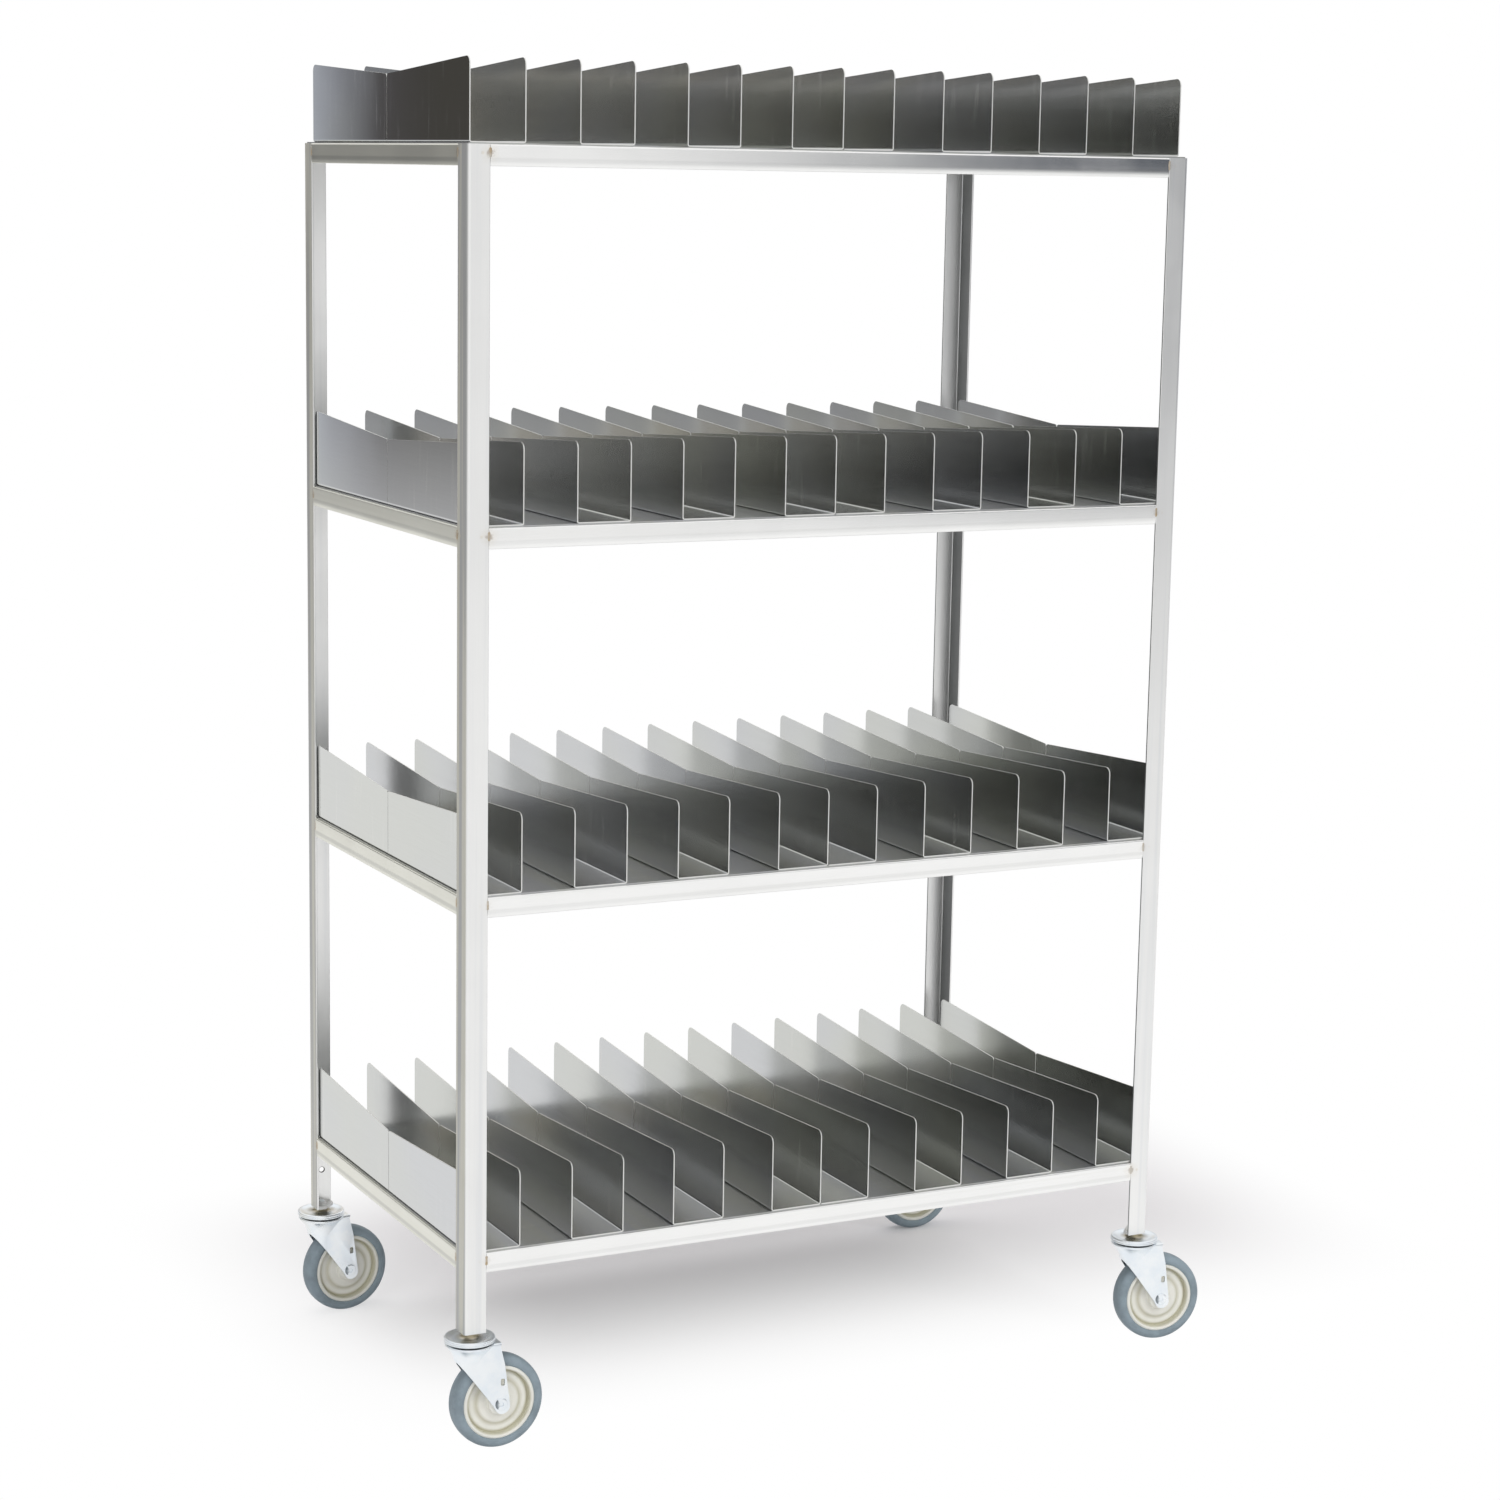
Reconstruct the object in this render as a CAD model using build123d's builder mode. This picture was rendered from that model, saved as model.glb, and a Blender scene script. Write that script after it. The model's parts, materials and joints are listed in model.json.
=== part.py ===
"""Tray drying rack: four angle posts, four slotted shelves and four swivel casters.

The frame is welded angle.  Every shelf is a flat sheet on an angle frame, with two
rows of folded sheet channels whose walls hold trays on edge.  Sizes are in millimetres,
Z points up, the floor is Z = 0 and the long front of the rack faces -Y.
"""

import os
from math import cos, radians, sin

from build123d import *

# Frame sizes
frame_length = 1060.0
frame_depth = 608.0
post_leg = 31.0
post_wall = 3.0
post_corner_radius = 2.5
post_bottom = 162.0
rail_height = 27.0
rail_leg = 25.0
rail_wall = 3.0
rail_corner_radius = 1.5
shelf_count = 4
bottom_shelf_top = 271.0
shelf_spacing = 474.7

# Rear post hole, below the bottom shelf
post_hole_diameter = 7.5
post_hole_drop = 30.0
post_hole_inset = 17.0

# Shelf sheet and folded channels
fit_gap = 0.5
pan_thickness = 1.5
sheet_thickness = 1.5
bend_radius = 1.5
wall_count = 15
first_wall_inset = 5.0
last_wall_inset = 15.0
wall_end_height = 104.0
wall_middle_height = 88.0
wall_outer_radius = 9.0
wall_middle_radius = 4.0
row_joint_gap = 1.0
rear_margin = 24.0
flange_gap = 1.0
double_channel_walls = (0, 2, 4, 6, 9, 11, 13)
single_channel_walls = (8,)

# Caster foot in each post
foot_plate_thickness = 4.0
foot_plate_cut = 18.0
swivel_inset = 12.5
stem_diameter = 10.0
stem_clearance = 0.2
stem_nut_flats = 15.0
stem_nut_height = 4.0
stem_tip = 1.0
collar_diameter = 22.0
collar_height = 5.0

# Swivel head
race_diameter = 68.0
race_thickness = 3.0
race_rim_wall = 4.0
race_rim_drop = 4.0
race_edge_radius = 1.8
swivel_gap = 2.0
running_clearance = 0.05
pin_diameter = 10.0
pin_head_diameter = 18.0
pin_head_height = 3.0
pin_head_gap = 0.3
ball_clearance = 0.3
ball_circle_diameter = 40.0
ball_count = 12

# Fork
crown_thickness = 3.5
crown_diameter = 66.0
fork_wall = 3.0
fork_lead = 33.0
fork_tail = 38.0
fork_eye_radius = 13.0
fork_bend_radius = 2.5
fork_slot_length = 9.5
fork_slot_width = 5.5
fork_slot_rise = 30.0
fork_slot_shift = 2.0

# Wheel
wheel_diameter = 127.0
wheel_trail = 37.0
tyre_width = 30.0
tyre_edge_radius = 9.0
tyre_depth = 13.5
core_width = 28.0
core_rim_wall = 5.0
core_web = 12.0
core_step_diameter = 62.0
core_step_height = 3.0
hub_diameter = 32.0
hub_width = 34.0
hub_side_gap = 0.5
tyre_bond = 0.05
axle_diameter = 9.5
axle_clearance = 0.1
axle_head_diameter = 17.0
axle_head_height = 3.0
axle_nut_flats = 14.0
axle_nut_height = 6.0
axle_tip = 1.0

# Swivel angle of each caster about its stem, in degrees from +X
front_left_turn = 0.0
front_right_turn = -10.0
rear_right_turn = 180.0
rear_left_turn = 6.0

# Places worked out from the sizes above
reach_left = race_diameter / 2 - swivel_inset
tyre_round = wheel_diameter / 2 - tyre_edge_radius
tyre_flat = tyre_width / 2 - tyre_edge_radius
outer_turn = radians(front_right_turn)
tyre_reach = (wheel_trail + tyre_round) * cos(outer_turn) + tyre_flat * abs(sin(outer_turn))
reach_right = tyre_reach + tyre_edge_radius - swivel_inset
left = -(frame_length + reach_right - reach_left) / 2
right = left + frame_length
front = -frame_depth / 2
back = frame_depth / 2
shelf_tops = [bottom_shelf_top + shelf_spacing * index for index in range(shelf_count)]
post_top = shelf_tops[-1]
pan_inset = post_wall + fit_gap
wall_pitch = (frame_length - first_wall_inset - last_wall_inset) / (wall_count - 1)
row_length = (frame_depth - 2 * pan_inset - rear_margin - row_joint_gap) / 2
race_top = post_bottom - collar_height
crown_top = race_top - race_thickness - race_rim_drop - swivel_gap
crown_bottom = crown_top - crown_thickness
axle_height = wheel_diameter / 2
core_diameter = wheel_diameter - 2 * tyre_depth
fork_inside = hub_width + 2 * hub_side_gap
fork_outside = fork_inside + 2 * fork_wall
stem_top = post_bottom + foot_plate_thickness + stem_nut_height + stem_tip

# Corner name: corner point, direction of the first post leg, caster turn
corners = {
    "front_left": ((left, front), (1, 0, 0), front_left_turn),
    "front_right": ((right, front), (0, 1, 0), front_right_turn),
    "rear_right": ((right, back), (-1, 0, 0), rear_right_turn),
    "rear_left": ((left, back), (0, -1, 0), rear_left_turn),
}
low_corner = (Align.MIN, Align.MIN)
low_side = (Align.CENTER, Align.MIN)

os.makedirs("parts", exist_ok=True)


def save(piece, name):
    """Label a finished piece and write it as its own file."""
    piece.part.label = name
    export_step(piece.part, f"parts/{name}.step")


def corner_plane(name, height):
    """Plane at a rack corner whose X and Y run along the two post legs."""
    (x, y), first_leg, _ = corners[name]
    return Plane(origin=(x, y, height), x_dir=first_leg, z_dir=(0, 0, 1))


def swivel_point(name):
    """Place of a caster's stem axis on the floor."""
    return corner_plane(name, 0).from_local_coords(Vector(swivel_inset, swivel_inset, 0))


def caster_plane(name, height):
    """Plane across a caster's stem axis, with X along the wheel's trail."""
    turn = radians(corners[name][2])
    point = swivel_point(name)
    return Plane(origin=(point.X, point.Y, height), x_dir=(cos(turn), sin(turn), 0), z_dir=(0, 0, 1))


def side_plane(name, offset):
    """Upright plane along a caster's trail, with X along the trail and Y up."""
    base = caster_plane(name, 0)
    origin = base.from_local_coords(Vector(0, offset, 0))
    return Plane(origin=origin, x_dir=base.x_dir, z_dir=base.y_dir * -1)


# Corner posts of equal angle
for name in corners:
    with BuildPart() as post:
        with BuildSketch(corner_plane(name, post_bottom)) as angle:
            Rectangle(post_leg, post_leg, align=low_corner)
            with Locations((post_wall, post_wall)):
                Rectangle(post_leg, post_leg, align=low_corner, mode=Mode.SUBTRACT)
        extrude(amount=post_top - post_bottom)
        corner_x, corner_y = corners[name][0]
        upright = post.edges().filter_by(Axis.Z)
        fillet(upright.sort_by_distance((corner_x, corner_y, post_bottom))[0], post_corner_radius)
        if name.startswith("rear"):
            hole = corner_plane(name, 0).from_local_coords(Vector(post_hole_inset, post_hole_inset, 0))
            with BuildSketch(Plane.XZ.offset(-back)):
                with Locations((hole.X, bottom_shelf_top - rail_height - post_hole_drop)):
                    Circle(post_hole_diameter / 2)
            extrude(amount=post_wall, mode=Mode.SUBTRACT)
    save(post, f"post_{name}")

# Shelf rails of angle, butted between the post legs with the flat leg on top
rail_sides = {
    "front": ((left, front), (1, 0, 0), frame_length),
    "right": ((right, front), (0, 1, 0), frame_depth),
    "rear": ((right, back), (-1, 0, 0), frame_length),
    "left": ((left, back), (0, -1, 0), frame_depth),
}
for level, top in enumerate(shelf_tops, start=1):
    for side, ((x, y), along, span) in rail_sides.items():
        run = Vector(along)
        start = Vector(x, y, top) + run * post_leg
        section = Plane(origin=start, x_dir=Vector(0, 0, 1).cross(run), z_dir=run)
        with BuildPart() as rail:
            with BuildSketch(section) as angle:
                Rectangle(rail_leg, rail_height, align=(Align.MIN, Align.MAX))
                with Locations((rail_wall, -rail_wall)):
                    Rectangle(rail_leg, rail_height, align=(Align.MIN, Align.MAX), mode=Mode.SUBTRACT)
                fillet(angle.vertices().sort_by_distance((0, 0))[0], rail_corner_radius)
            extrude(amount=span - 2 * post_leg)
        save(rail, f"shelf_{level}_{side}_rail")

# Shelf sheets, lying on the rails inside the posts
for level, top in enumerate(shelf_tops, start=1):
    with BuildPart() as pan:
        with BuildSketch(Plane.XY.offset(top)):
            with Locations(((left + right) / 2, 0)):
                Rectangle(frame_length - 2 * pan_inset, frame_depth - 2 * pan_inset)
        extrude(amount=pan_thickness)
    save(pan, f"shelf_{level}_sheet")

# Folded channels, drawn at the first wall in the front row of the bottom shelf
channel_base = bottom_shelf_top + pan_thickness
first_wall = left + first_wall_inset
row_start = front + pan_inset
row_end = row_start + row_length
row_middle = row_end + row_joint_gap / 2

with BuildSketch(Plane.YZ.offset(left - wall_pitch)) as wall_outline:
    with BuildLine():
        Polyline(
            (row_start, channel_base),
            (row_end, channel_base),
            (row_end, channel_base + wall_middle_height),
            (row_start, channel_base + wall_end_height),
            close=True,
        )
    make_face()
    outer_top = (row_start, channel_base + wall_end_height)
    middle_top = (row_end, channel_base + wall_middle_height)
    fillet(wall_outline.vertices().sort_by_distance(outer_top)[0], wall_outer_radius)
    fillet(wall_outline.vertices().sort_by_distance(middle_top)[0], wall_middle_radius)

with BuildPart() as double_channel:
    with BuildSketch(Plane.XZ.offset(-row_start)) as fold:
        with Locations((first_wall + wall_pitch / 2, channel_base)):
            Rectangle(wall_pitch + sheet_thickness, wall_end_height, align=low_side)
        fillet(fold.vertices().group_by(Axis.Y)[0], bend_radius + sheet_thickness)
    extrude(amount=-row_length)
    with BuildSketch(Plane.XZ.offset(-row_start)) as hollow:
        with Locations((first_wall + wall_pitch / 2, channel_base + sheet_thickness)):
            Rectangle(wall_pitch - sheet_thickness, wall_end_height, align=low_side)
        fillet(hollow.vertices().group_by(Axis.Y)[0], bend_radius)
    extrude(amount=-row_length, mode=Mode.SUBTRACT)
    extrude(wall_outline.sketch, amount=frame_length, mode=Mode.INTERSECT)

flange_start = first_wall - wall_pitch + sheet_thickness / 2 + flange_gap
wall_face = first_wall + sheet_thickness / 2
with BuildPart() as single_channel:
    with BuildSketch(Plane.XZ.offset(-row_start)) as fold:
        with Locations((wall_face, channel_base)):
            Rectangle(wall_face - flange_start, wall_end_height, align=(Align.MAX, Align.MIN))
        heel = (wall_face, channel_base)
        fillet(fold.vertices().sort_by_distance(heel)[0], bend_radius + sheet_thickness)
    extrude(amount=-row_length)
    with BuildSketch(Plane.XZ.offset(-row_start)) as hollow:
        inner_face = wall_face - sheet_thickness
        with Locations((inner_face, channel_base + sheet_thickness)):
            Rectangle(wall_pitch, wall_end_height, align=(Align.MAX, Align.MIN))
        inner_heel = (inner_face, channel_base + sheet_thickness)
        fillet(hollow.vertices().sort_by_distance(inner_heel)[0], bend_radius)
    extrude(amount=-row_length, mode=Mode.SUBTRACT)
    extrude(wall_outline.sketch, amount=frame_length, mode=Mode.INTERSECT)

# Two rows of channels on every shelf, the rear row a mirror of the front row
for level, top in enumerate(shelf_tops, start=1):
    lift = top - bottom_shelf_top
    with BuildPart() as front_row:
        with Locations(*[(wall * wall_pitch, 0, lift) for wall in double_channel_walls]):
            add(double_channel.part)
        with Locations(*[(wall * wall_pitch, 0, lift) for wall in single_channel_walls]):
            add(single_channel.part)
    save(front_row, f"shelf_{level}_front_channels")
    with BuildPart() as rear_row:
        mirror(front_row.part, about=Plane.XZ.offset(-row_middle))
    save(rear_row, f"shelf_{level}_rear_channels")

# Foot plates welded inside the post feet, and the nuts that hold the caster stems
with BuildPart() as foot_plates:
    for name in corners:
        with BuildSketch(corner_plane(name, post_bottom)) as plate:
            with Locations((post_wall, post_wall)):
                Rectangle(post_leg - post_wall, post_leg - post_wall, align=low_corner)
            chamfer(plate.vertices().sort_by_distance((0, 0, 0))[-1], foot_plate_cut)
            with Locations((swivel_inset, swivel_inset)):
                Circle(stem_diameter / 2 + stem_clearance, mode=Mode.SUBTRACT)
        extrude(amount=foot_plate_thickness)
save(foot_plates, "foot_plates")

with BuildPart() as stem_nuts:
    for name in corners:
        with BuildSketch(corner_plane(name, post_bottom + foot_plate_thickness)):
            with Locations((swivel_inset, swivel_inset)):
                RegularPolygon(stem_nut_flats / 2, 6, major_radius=False)
                Circle(stem_diameter / 2 + running_clearance, mode=Mode.SUBTRACT)
        extrude(amount=stem_nut_height)
save(stem_nuts, "stem_nuts")

# Bearing balls between the upper race and the fork crown
race_under = race_top - race_thickness
ball_radius = (race_under - crown_top) / 2 - ball_clearance
with BuildPart() as swivel_balls:
    for name in corners:
        with Locations(caster_plane(name, (race_under + crown_top) / 2)):
            with PolarLocations(ball_circle_diameter / 2, ball_count):
                Sphere(ball_radius)
save(swivel_balls, "swivel_balls")

# Casters
for name in corners:
    trail_section = side_plane(name, 0)
    stem_axis = Axis(swivel_point(name), (0, 0, 1))
    axle_point = caster_plane(name, axle_height).from_local_coords(Vector(wheel_trail, 0, 0))
    axle_axis = Axis(axle_point, trail_section.z_dir)
    wheel_section = Plane(origin=axle_point, x_dir=trail_section.z_dir, z_dir=trail_section.x_dir * -1)

    # Threaded stem with collar, upper race and the riveted swivel pin below it
    with BuildPart() as stem:
        with BuildSketch(trail_section) as half:
            with BuildLine():
                Polyline(
                    (0, stem_top),
                    (stem_diameter / 2, stem_top),
                    (stem_diameter / 2, post_bottom),
                    (collar_diameter / 2, post_bottom),
                    (collar_diameter / 2, race_top),
                    (race_diameter / 2, race_top),
                    (race_diameter / 2, race_under - race_rim_drop),
                    (race_diameter / 2 - race_rim_wall, race_under - race_rim_drop),
                    (race_diameter / 2 - race_rim_wall, race_under),
                    (pin_diameter / 2, race_under),
                    (pin_diameter / 2, crown_bottom - pin_head_gap),
                    (pin_head_diameter / 2, crown_bottom - pin_head_gap),
                    (pin_head_diameter / 2, crown_bottom - pin_head_gap - pin_head_height),
                    (0, crown_bottom - pin_head_gap - pin_head_height),
                    close=True,
                )
            make_face()
        revolve(axis=stem_axis)
        rims = stem.edges().filter_by(GeomType.CIRCLE).group_by(SortBy.RADIUS)[-1]
        fillet(rims, race_edge_radius)
    save(stem, f"caster_stem_{name}")

    # Pressed fork: round crown, two tapering legs and an axle eye
    with BuildPart() as fork:
        with BuildSketch(caster_plane(name, crown_bottom)):
            Circle(crown_diameter / 2)
            with Locations((-fork_lead, 0)):
                Rectangle(fork_lead + fork_tail, fork_outside, align=(Align.MIN, Align.CENTER))
        extrude(amount=crown_thickness)
        with BuildSketch(side_plane(name, -fork_outside / 2)):
            with Locations((wheel_trail, axle_height)):
                Circle(fork_eye_radius)
            with Locations((-fork_lead, crown_bottom)):
                Rectangle(fork_lead + fork_tail, crown_thickness, align=low_corner)
            make_hull()
        extrude(amount=-fork_outside)
        with BuildSketch(side_plane(name, -fork_inside / 2)):
            with Locations((-fork_lead - fork_eye_radius, crown_bottom)):
                Rectangle(
                    fork_lead + wheel_trail + 3 * fork_eye_radius,
                    crown_bottom - axle_height + 2 * fork_eye_radius,
                    align=(Align.MIN, Align.MAX),
                )
        extrude(amount=-fork_inside, mode=Mode.SUBTRACT)
        with BuildSketch(side_plane(name, -fork_outside / 2)):
            with Locations((wheel_trail, axle_height)):
                Circle(axle_diameter / 2 + axle_clearance)
            with Locations((wheel_trail + fork_slot_shift, axle_height + fork_slot_rise)):
                SlotOverall(fork_slot_length, fork_slot_width, rotation=90)
        extrude(amount=-fork_outside, mode=Mode.SUBTRACT)
        with BuildSketch(caster_plane(name, crown_bottom)):
            Circle(pin_diameter / 2 + running_clearance)
        extrude(amount=crown_thickness, mode=Mode.SUBTRACT)
        bends = fork.edges().filter_by(Axis(swivel_point(name), trail_section.x_dir))
        fillet(bends.group_by(Axis.Z)[-1], fork_bend_radius)
    save(fork, f"caster_fork_{name}")

    # Axle bolt with a low round head on the front leg, and its nut on the other leg
    with BuildPart() as axle_bolt:
        with BuildSketch(side_plane(name, -fork_outside / 2)):
            with Locations((wheel_trail, axle_height)):
                Circle(axle_head_diameter / 2)
        extrude(amount=axle_head_height)
        fillet(axle_bolt.faces().sort_by(axle_axis)[-1].edges(), axle_head_height / 2)
        with BuildSketch(side_plane(name, -fork_outside / 2)):
            with Locations((wheel_trail, axle_height)):
                Circle(axle_diameter / 2)
        extrude(amount=-(fork_outside + axle_nut_height + axle_tip))
    save(axle_bolt, f"axle_bolt_{name}")

    with BuildPart() as axle_nut:
        with BuildSketch(side_plane(name, fork_outside / 2)):
            with Locations((wheel_trail, axle_height)):
                RegularPolygon(axle_nut_flats / 2, 6, major_radius=False)
                Circle(axle_diameter / 2 + running_clearance, mode=Mode.SUBTRACT)
        extrude(amount=-axle_nut_height)
    save(axle_nut, f"axle_nut_{name}")

    # Wheel core: hub, dished web with one step, and rim
    with BuildPart() as core:
        with BuildSketch(wheel_section):
            with Locations((0, core_diameter / 2)):
                Rectangle(core_width, core_rim_wall, align=(Align.CENTER, Align.MAX))
            Rectangle(core_web, core_diameter / 2 - core_rim_wall, align=low_side)
            Rectangle(core_web + 2 * core_step_height, core_step_diameter / 2, align=low_side)
            Rectangle(hub_width, hub_diameter / 2, align=low_side)
            Rectangle(hub_width, axle_diameter / 2 + running_clearance, align=low_side, mode=Mode.SUBTRACT)
        revolve(axis=axle_axis)
    save(core, f"wheel_core_{name}")

    # Tyre: a ring with rounded shoulders on the core's rim
    with BuildPart() as tyre:
        with BuildSketch(wheel_section) as tread:
            tread_bottom = core_diameter / 2 + tyre_bond
            with Locations((0, tread_bottom)):
                Rectangle(tyre_width, wheel_diameter / 2 - tread_bottom, align=low_side)
            fillet(tread.vertices().group_by(Axis.Y)[-1], tyre_edge_radius)
        revolve(axis=axle_axis)
    save(tyre, f"wheel_tyre_{name}")
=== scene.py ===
"""Looks of a tray drying rack: welded angle frame, slotted shelves and swivel casters.

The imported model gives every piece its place.  This script dresses the frame bars, rebuilds the
folded shelf channels and the casters as finished meshes, adds the welds, and sets a pale studio.
All sizes are metres, Z is up and the long front of the rack faces -Y.
"""

import json
import logging
import math
from dataclasses import dataclass, field
from enum import Enum
from typing import Callable, Iterator, Mapping, Sequence

import bmesh
import bpy
from mathutils import Matrix, Vector


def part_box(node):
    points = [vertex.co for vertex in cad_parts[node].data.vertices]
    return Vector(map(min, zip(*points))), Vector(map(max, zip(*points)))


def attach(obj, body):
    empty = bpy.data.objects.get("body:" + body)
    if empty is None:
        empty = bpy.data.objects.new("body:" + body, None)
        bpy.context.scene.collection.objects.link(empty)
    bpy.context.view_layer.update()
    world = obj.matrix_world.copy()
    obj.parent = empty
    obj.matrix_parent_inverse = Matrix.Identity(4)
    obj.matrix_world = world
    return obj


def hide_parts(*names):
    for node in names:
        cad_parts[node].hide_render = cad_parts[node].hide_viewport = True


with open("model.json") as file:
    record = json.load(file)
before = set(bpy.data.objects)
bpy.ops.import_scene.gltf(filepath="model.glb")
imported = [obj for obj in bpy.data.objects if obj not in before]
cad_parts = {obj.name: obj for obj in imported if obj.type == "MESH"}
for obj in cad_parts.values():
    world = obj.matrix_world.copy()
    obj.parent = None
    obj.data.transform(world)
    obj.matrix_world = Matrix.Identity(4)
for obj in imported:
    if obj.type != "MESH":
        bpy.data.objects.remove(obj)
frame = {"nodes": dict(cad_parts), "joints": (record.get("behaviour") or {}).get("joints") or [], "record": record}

LOG = logging.getLogger("tray_drying_rack")
MM = 0.001
# Mesh attribute that carries painted shade on the caster stems, axle heads and wheel cores.
PAINTED_SHADE = "painted_shade"

Point2 = tuple[float, float]
Colour = tuple[float, float, float]
Socket = bpy.types.NodeSocket
Node = bpy.types.Node
Material = bpy.types.Material
Mesh = bpy.types.Mesh
Piece = bpy.types.Object

SHELVES = (1, 2, 3, 4)
RIGHT = Vector((1.0, 0.0, 0.0))
BACK = Vector((0.0, 1.0, 0.0))
UP = Vector((0.0, 0.0, 1.0))
WHITE = (1.0, 1.0, 1.0)


class Corner(Enum):
    """The four corners of the rack, by the names that the nodes carry."""

    FRONT_LEFT = "front_left"
    FRONT_RIGHT = "front_right"
    REAR_RIGHT = "rear_right"
    REAR_LEFT = "rear_left"


class Side(Enum):
    """The four rails of a shelf."""

    FRONT = "front"
    RIGHT = "right"
    REAR = "rear"
    LEFT = "left"


class Grain(Enum):
    """Direction in which a metal surface is brushed or rolled, as a stretch of its noise."""

    ALONG_X = (0.012, 1.0, 1.0)
    ALONG_Y = (1.0, 0.012, 1.0)
    ALONG_Z = (1.0, 1.0, 0.012)
    ROUND = (1.0, 1.0, 1.0)


# Node trees

class Tree:
    """A node tree that is being put together."""

    def __init__(self, tree: bpy.types.NodeTree) -> None:
        """Keep the tree and empty it."""
        self.tree = tree
        tree.nodes.clear()

    def add(self, kind: str, feeds: Mapping | None = None, **settings: object) -> Node:
        """Add a node.

        Args:
            kind: The node's type name.
            feeds: Socket or value for its inputs, by the input's name or number.
            settings: Properties to set on the node.

        Returns:
            The new node.
        """
        node = self.tree.nodes.new(kind)
        for name, value in settings.items():
            setattr(node, name, value)
        for key, value in (feeds or {}).items():
            self.feed(node.inputs[key], value)
        return node

    def feed(self, target: Socket, value: object) -> None:
        """Join a socket to an input, or set a plain value on it.

        Args:
            target: The input socket.
            value: A socket to join, or a value to set.
        """
        if isinstance(value, Socket):
            self.tree.links.new(value, target)
        else:
            target.default_value = value

    def math(self, operation: str, *values: object, clamp: bool = False) -> Socket:
        """Add a scalar math node on sockets or numbers and return its result."""
        feeds = dict(enumerate(values))
        return self.add("ShaderNodeMath", feeds, operation=operation, use_clamp=clamp).outputs[0]

    def times(self, first: object, second: object) -> Socket:
        """Multiply two values."""
        return self.math("MULTIPLY", first, second)

    def opposite(self, mask: Socket) -> Socket:
        """Turn a mask round: 1 where it is 0."""
        return self.math("SUBTRACT", 1.0, mask)

    def vector_math(self, operation: str, *values: object) -> Socket:
        """Add a vector math node and return its vector output."""
        return self.add("ShaderNodeVectorMath", dict(enumerate(values)), operation=operation).outputs[0]

    def place(self) -> Socket:
        """Place of a point on the piece, in the shared frame."""
        return self.add("ShaderNodeTexCoord").outputs["Object"]

    def split(self, vector: Socket) -> Mapping[str, Socket]:
        """The X, Y and Z of a vector."""
        return self.add("ShaderNodeSeparateXYZ", {0: vector}).outputs

    def join(self, x: object = 0.0, y: object = 0.0, z: object = 0.0) -> Socket:
        """A vector from its X, Y and Z."""
        return self.add("ShaderNodeCombineXYZ", {"X": x, "Y": y, "Z": z}).outputs[0]

    def ramp(self, value: Socket, low: float, high: float) -> Socket:
        """Add a smooth step that is 0 at the low value and 1 at the high one."""
        feeds = {"Value": value, "From Min": low, "From Max": high}
        return self.add("ShaderNodeMapRange", feeds, interpolation_type="SMOOTHSTEP").outputs["Result"]

    def mix(self, factor: object, first: object, second: object, blend: str = "MIX") -> Socket:
        """Add a colour mix.

        Args:
            factor: Socket or number for the share of the second colour.
            first: First colour or socket.
            second: Second colour or socket.
            blend: The blend's name.

        Returns:
            The mixed colour socket.
        """
        one, two = (c if isinstance(c, Socket) else (*c, 1.0) for c in (first, second))
        feeds = {"Factor": factor, "A": one, "B": two}
        return self.add("ShaderNodeMix", feeds, data_type="RGBA", blend_type=blend).outputs["Result"]

    def noise(self, vector: Socket, scale: object, detail: float = 3.0, rough: float = 0.55) -> Socket:
        """Add a noise texture with a scale, a number of octaves and their strength."""
        feeds = {"Vector": vector, "Scale": scale, "Detail": detail, "Roughness": rough}
        return self.add("ShaderNodeTexNoise", feeds, noise_dimensions="3D").outputs["Fac"]


# Shader groups that several finishes share

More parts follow.
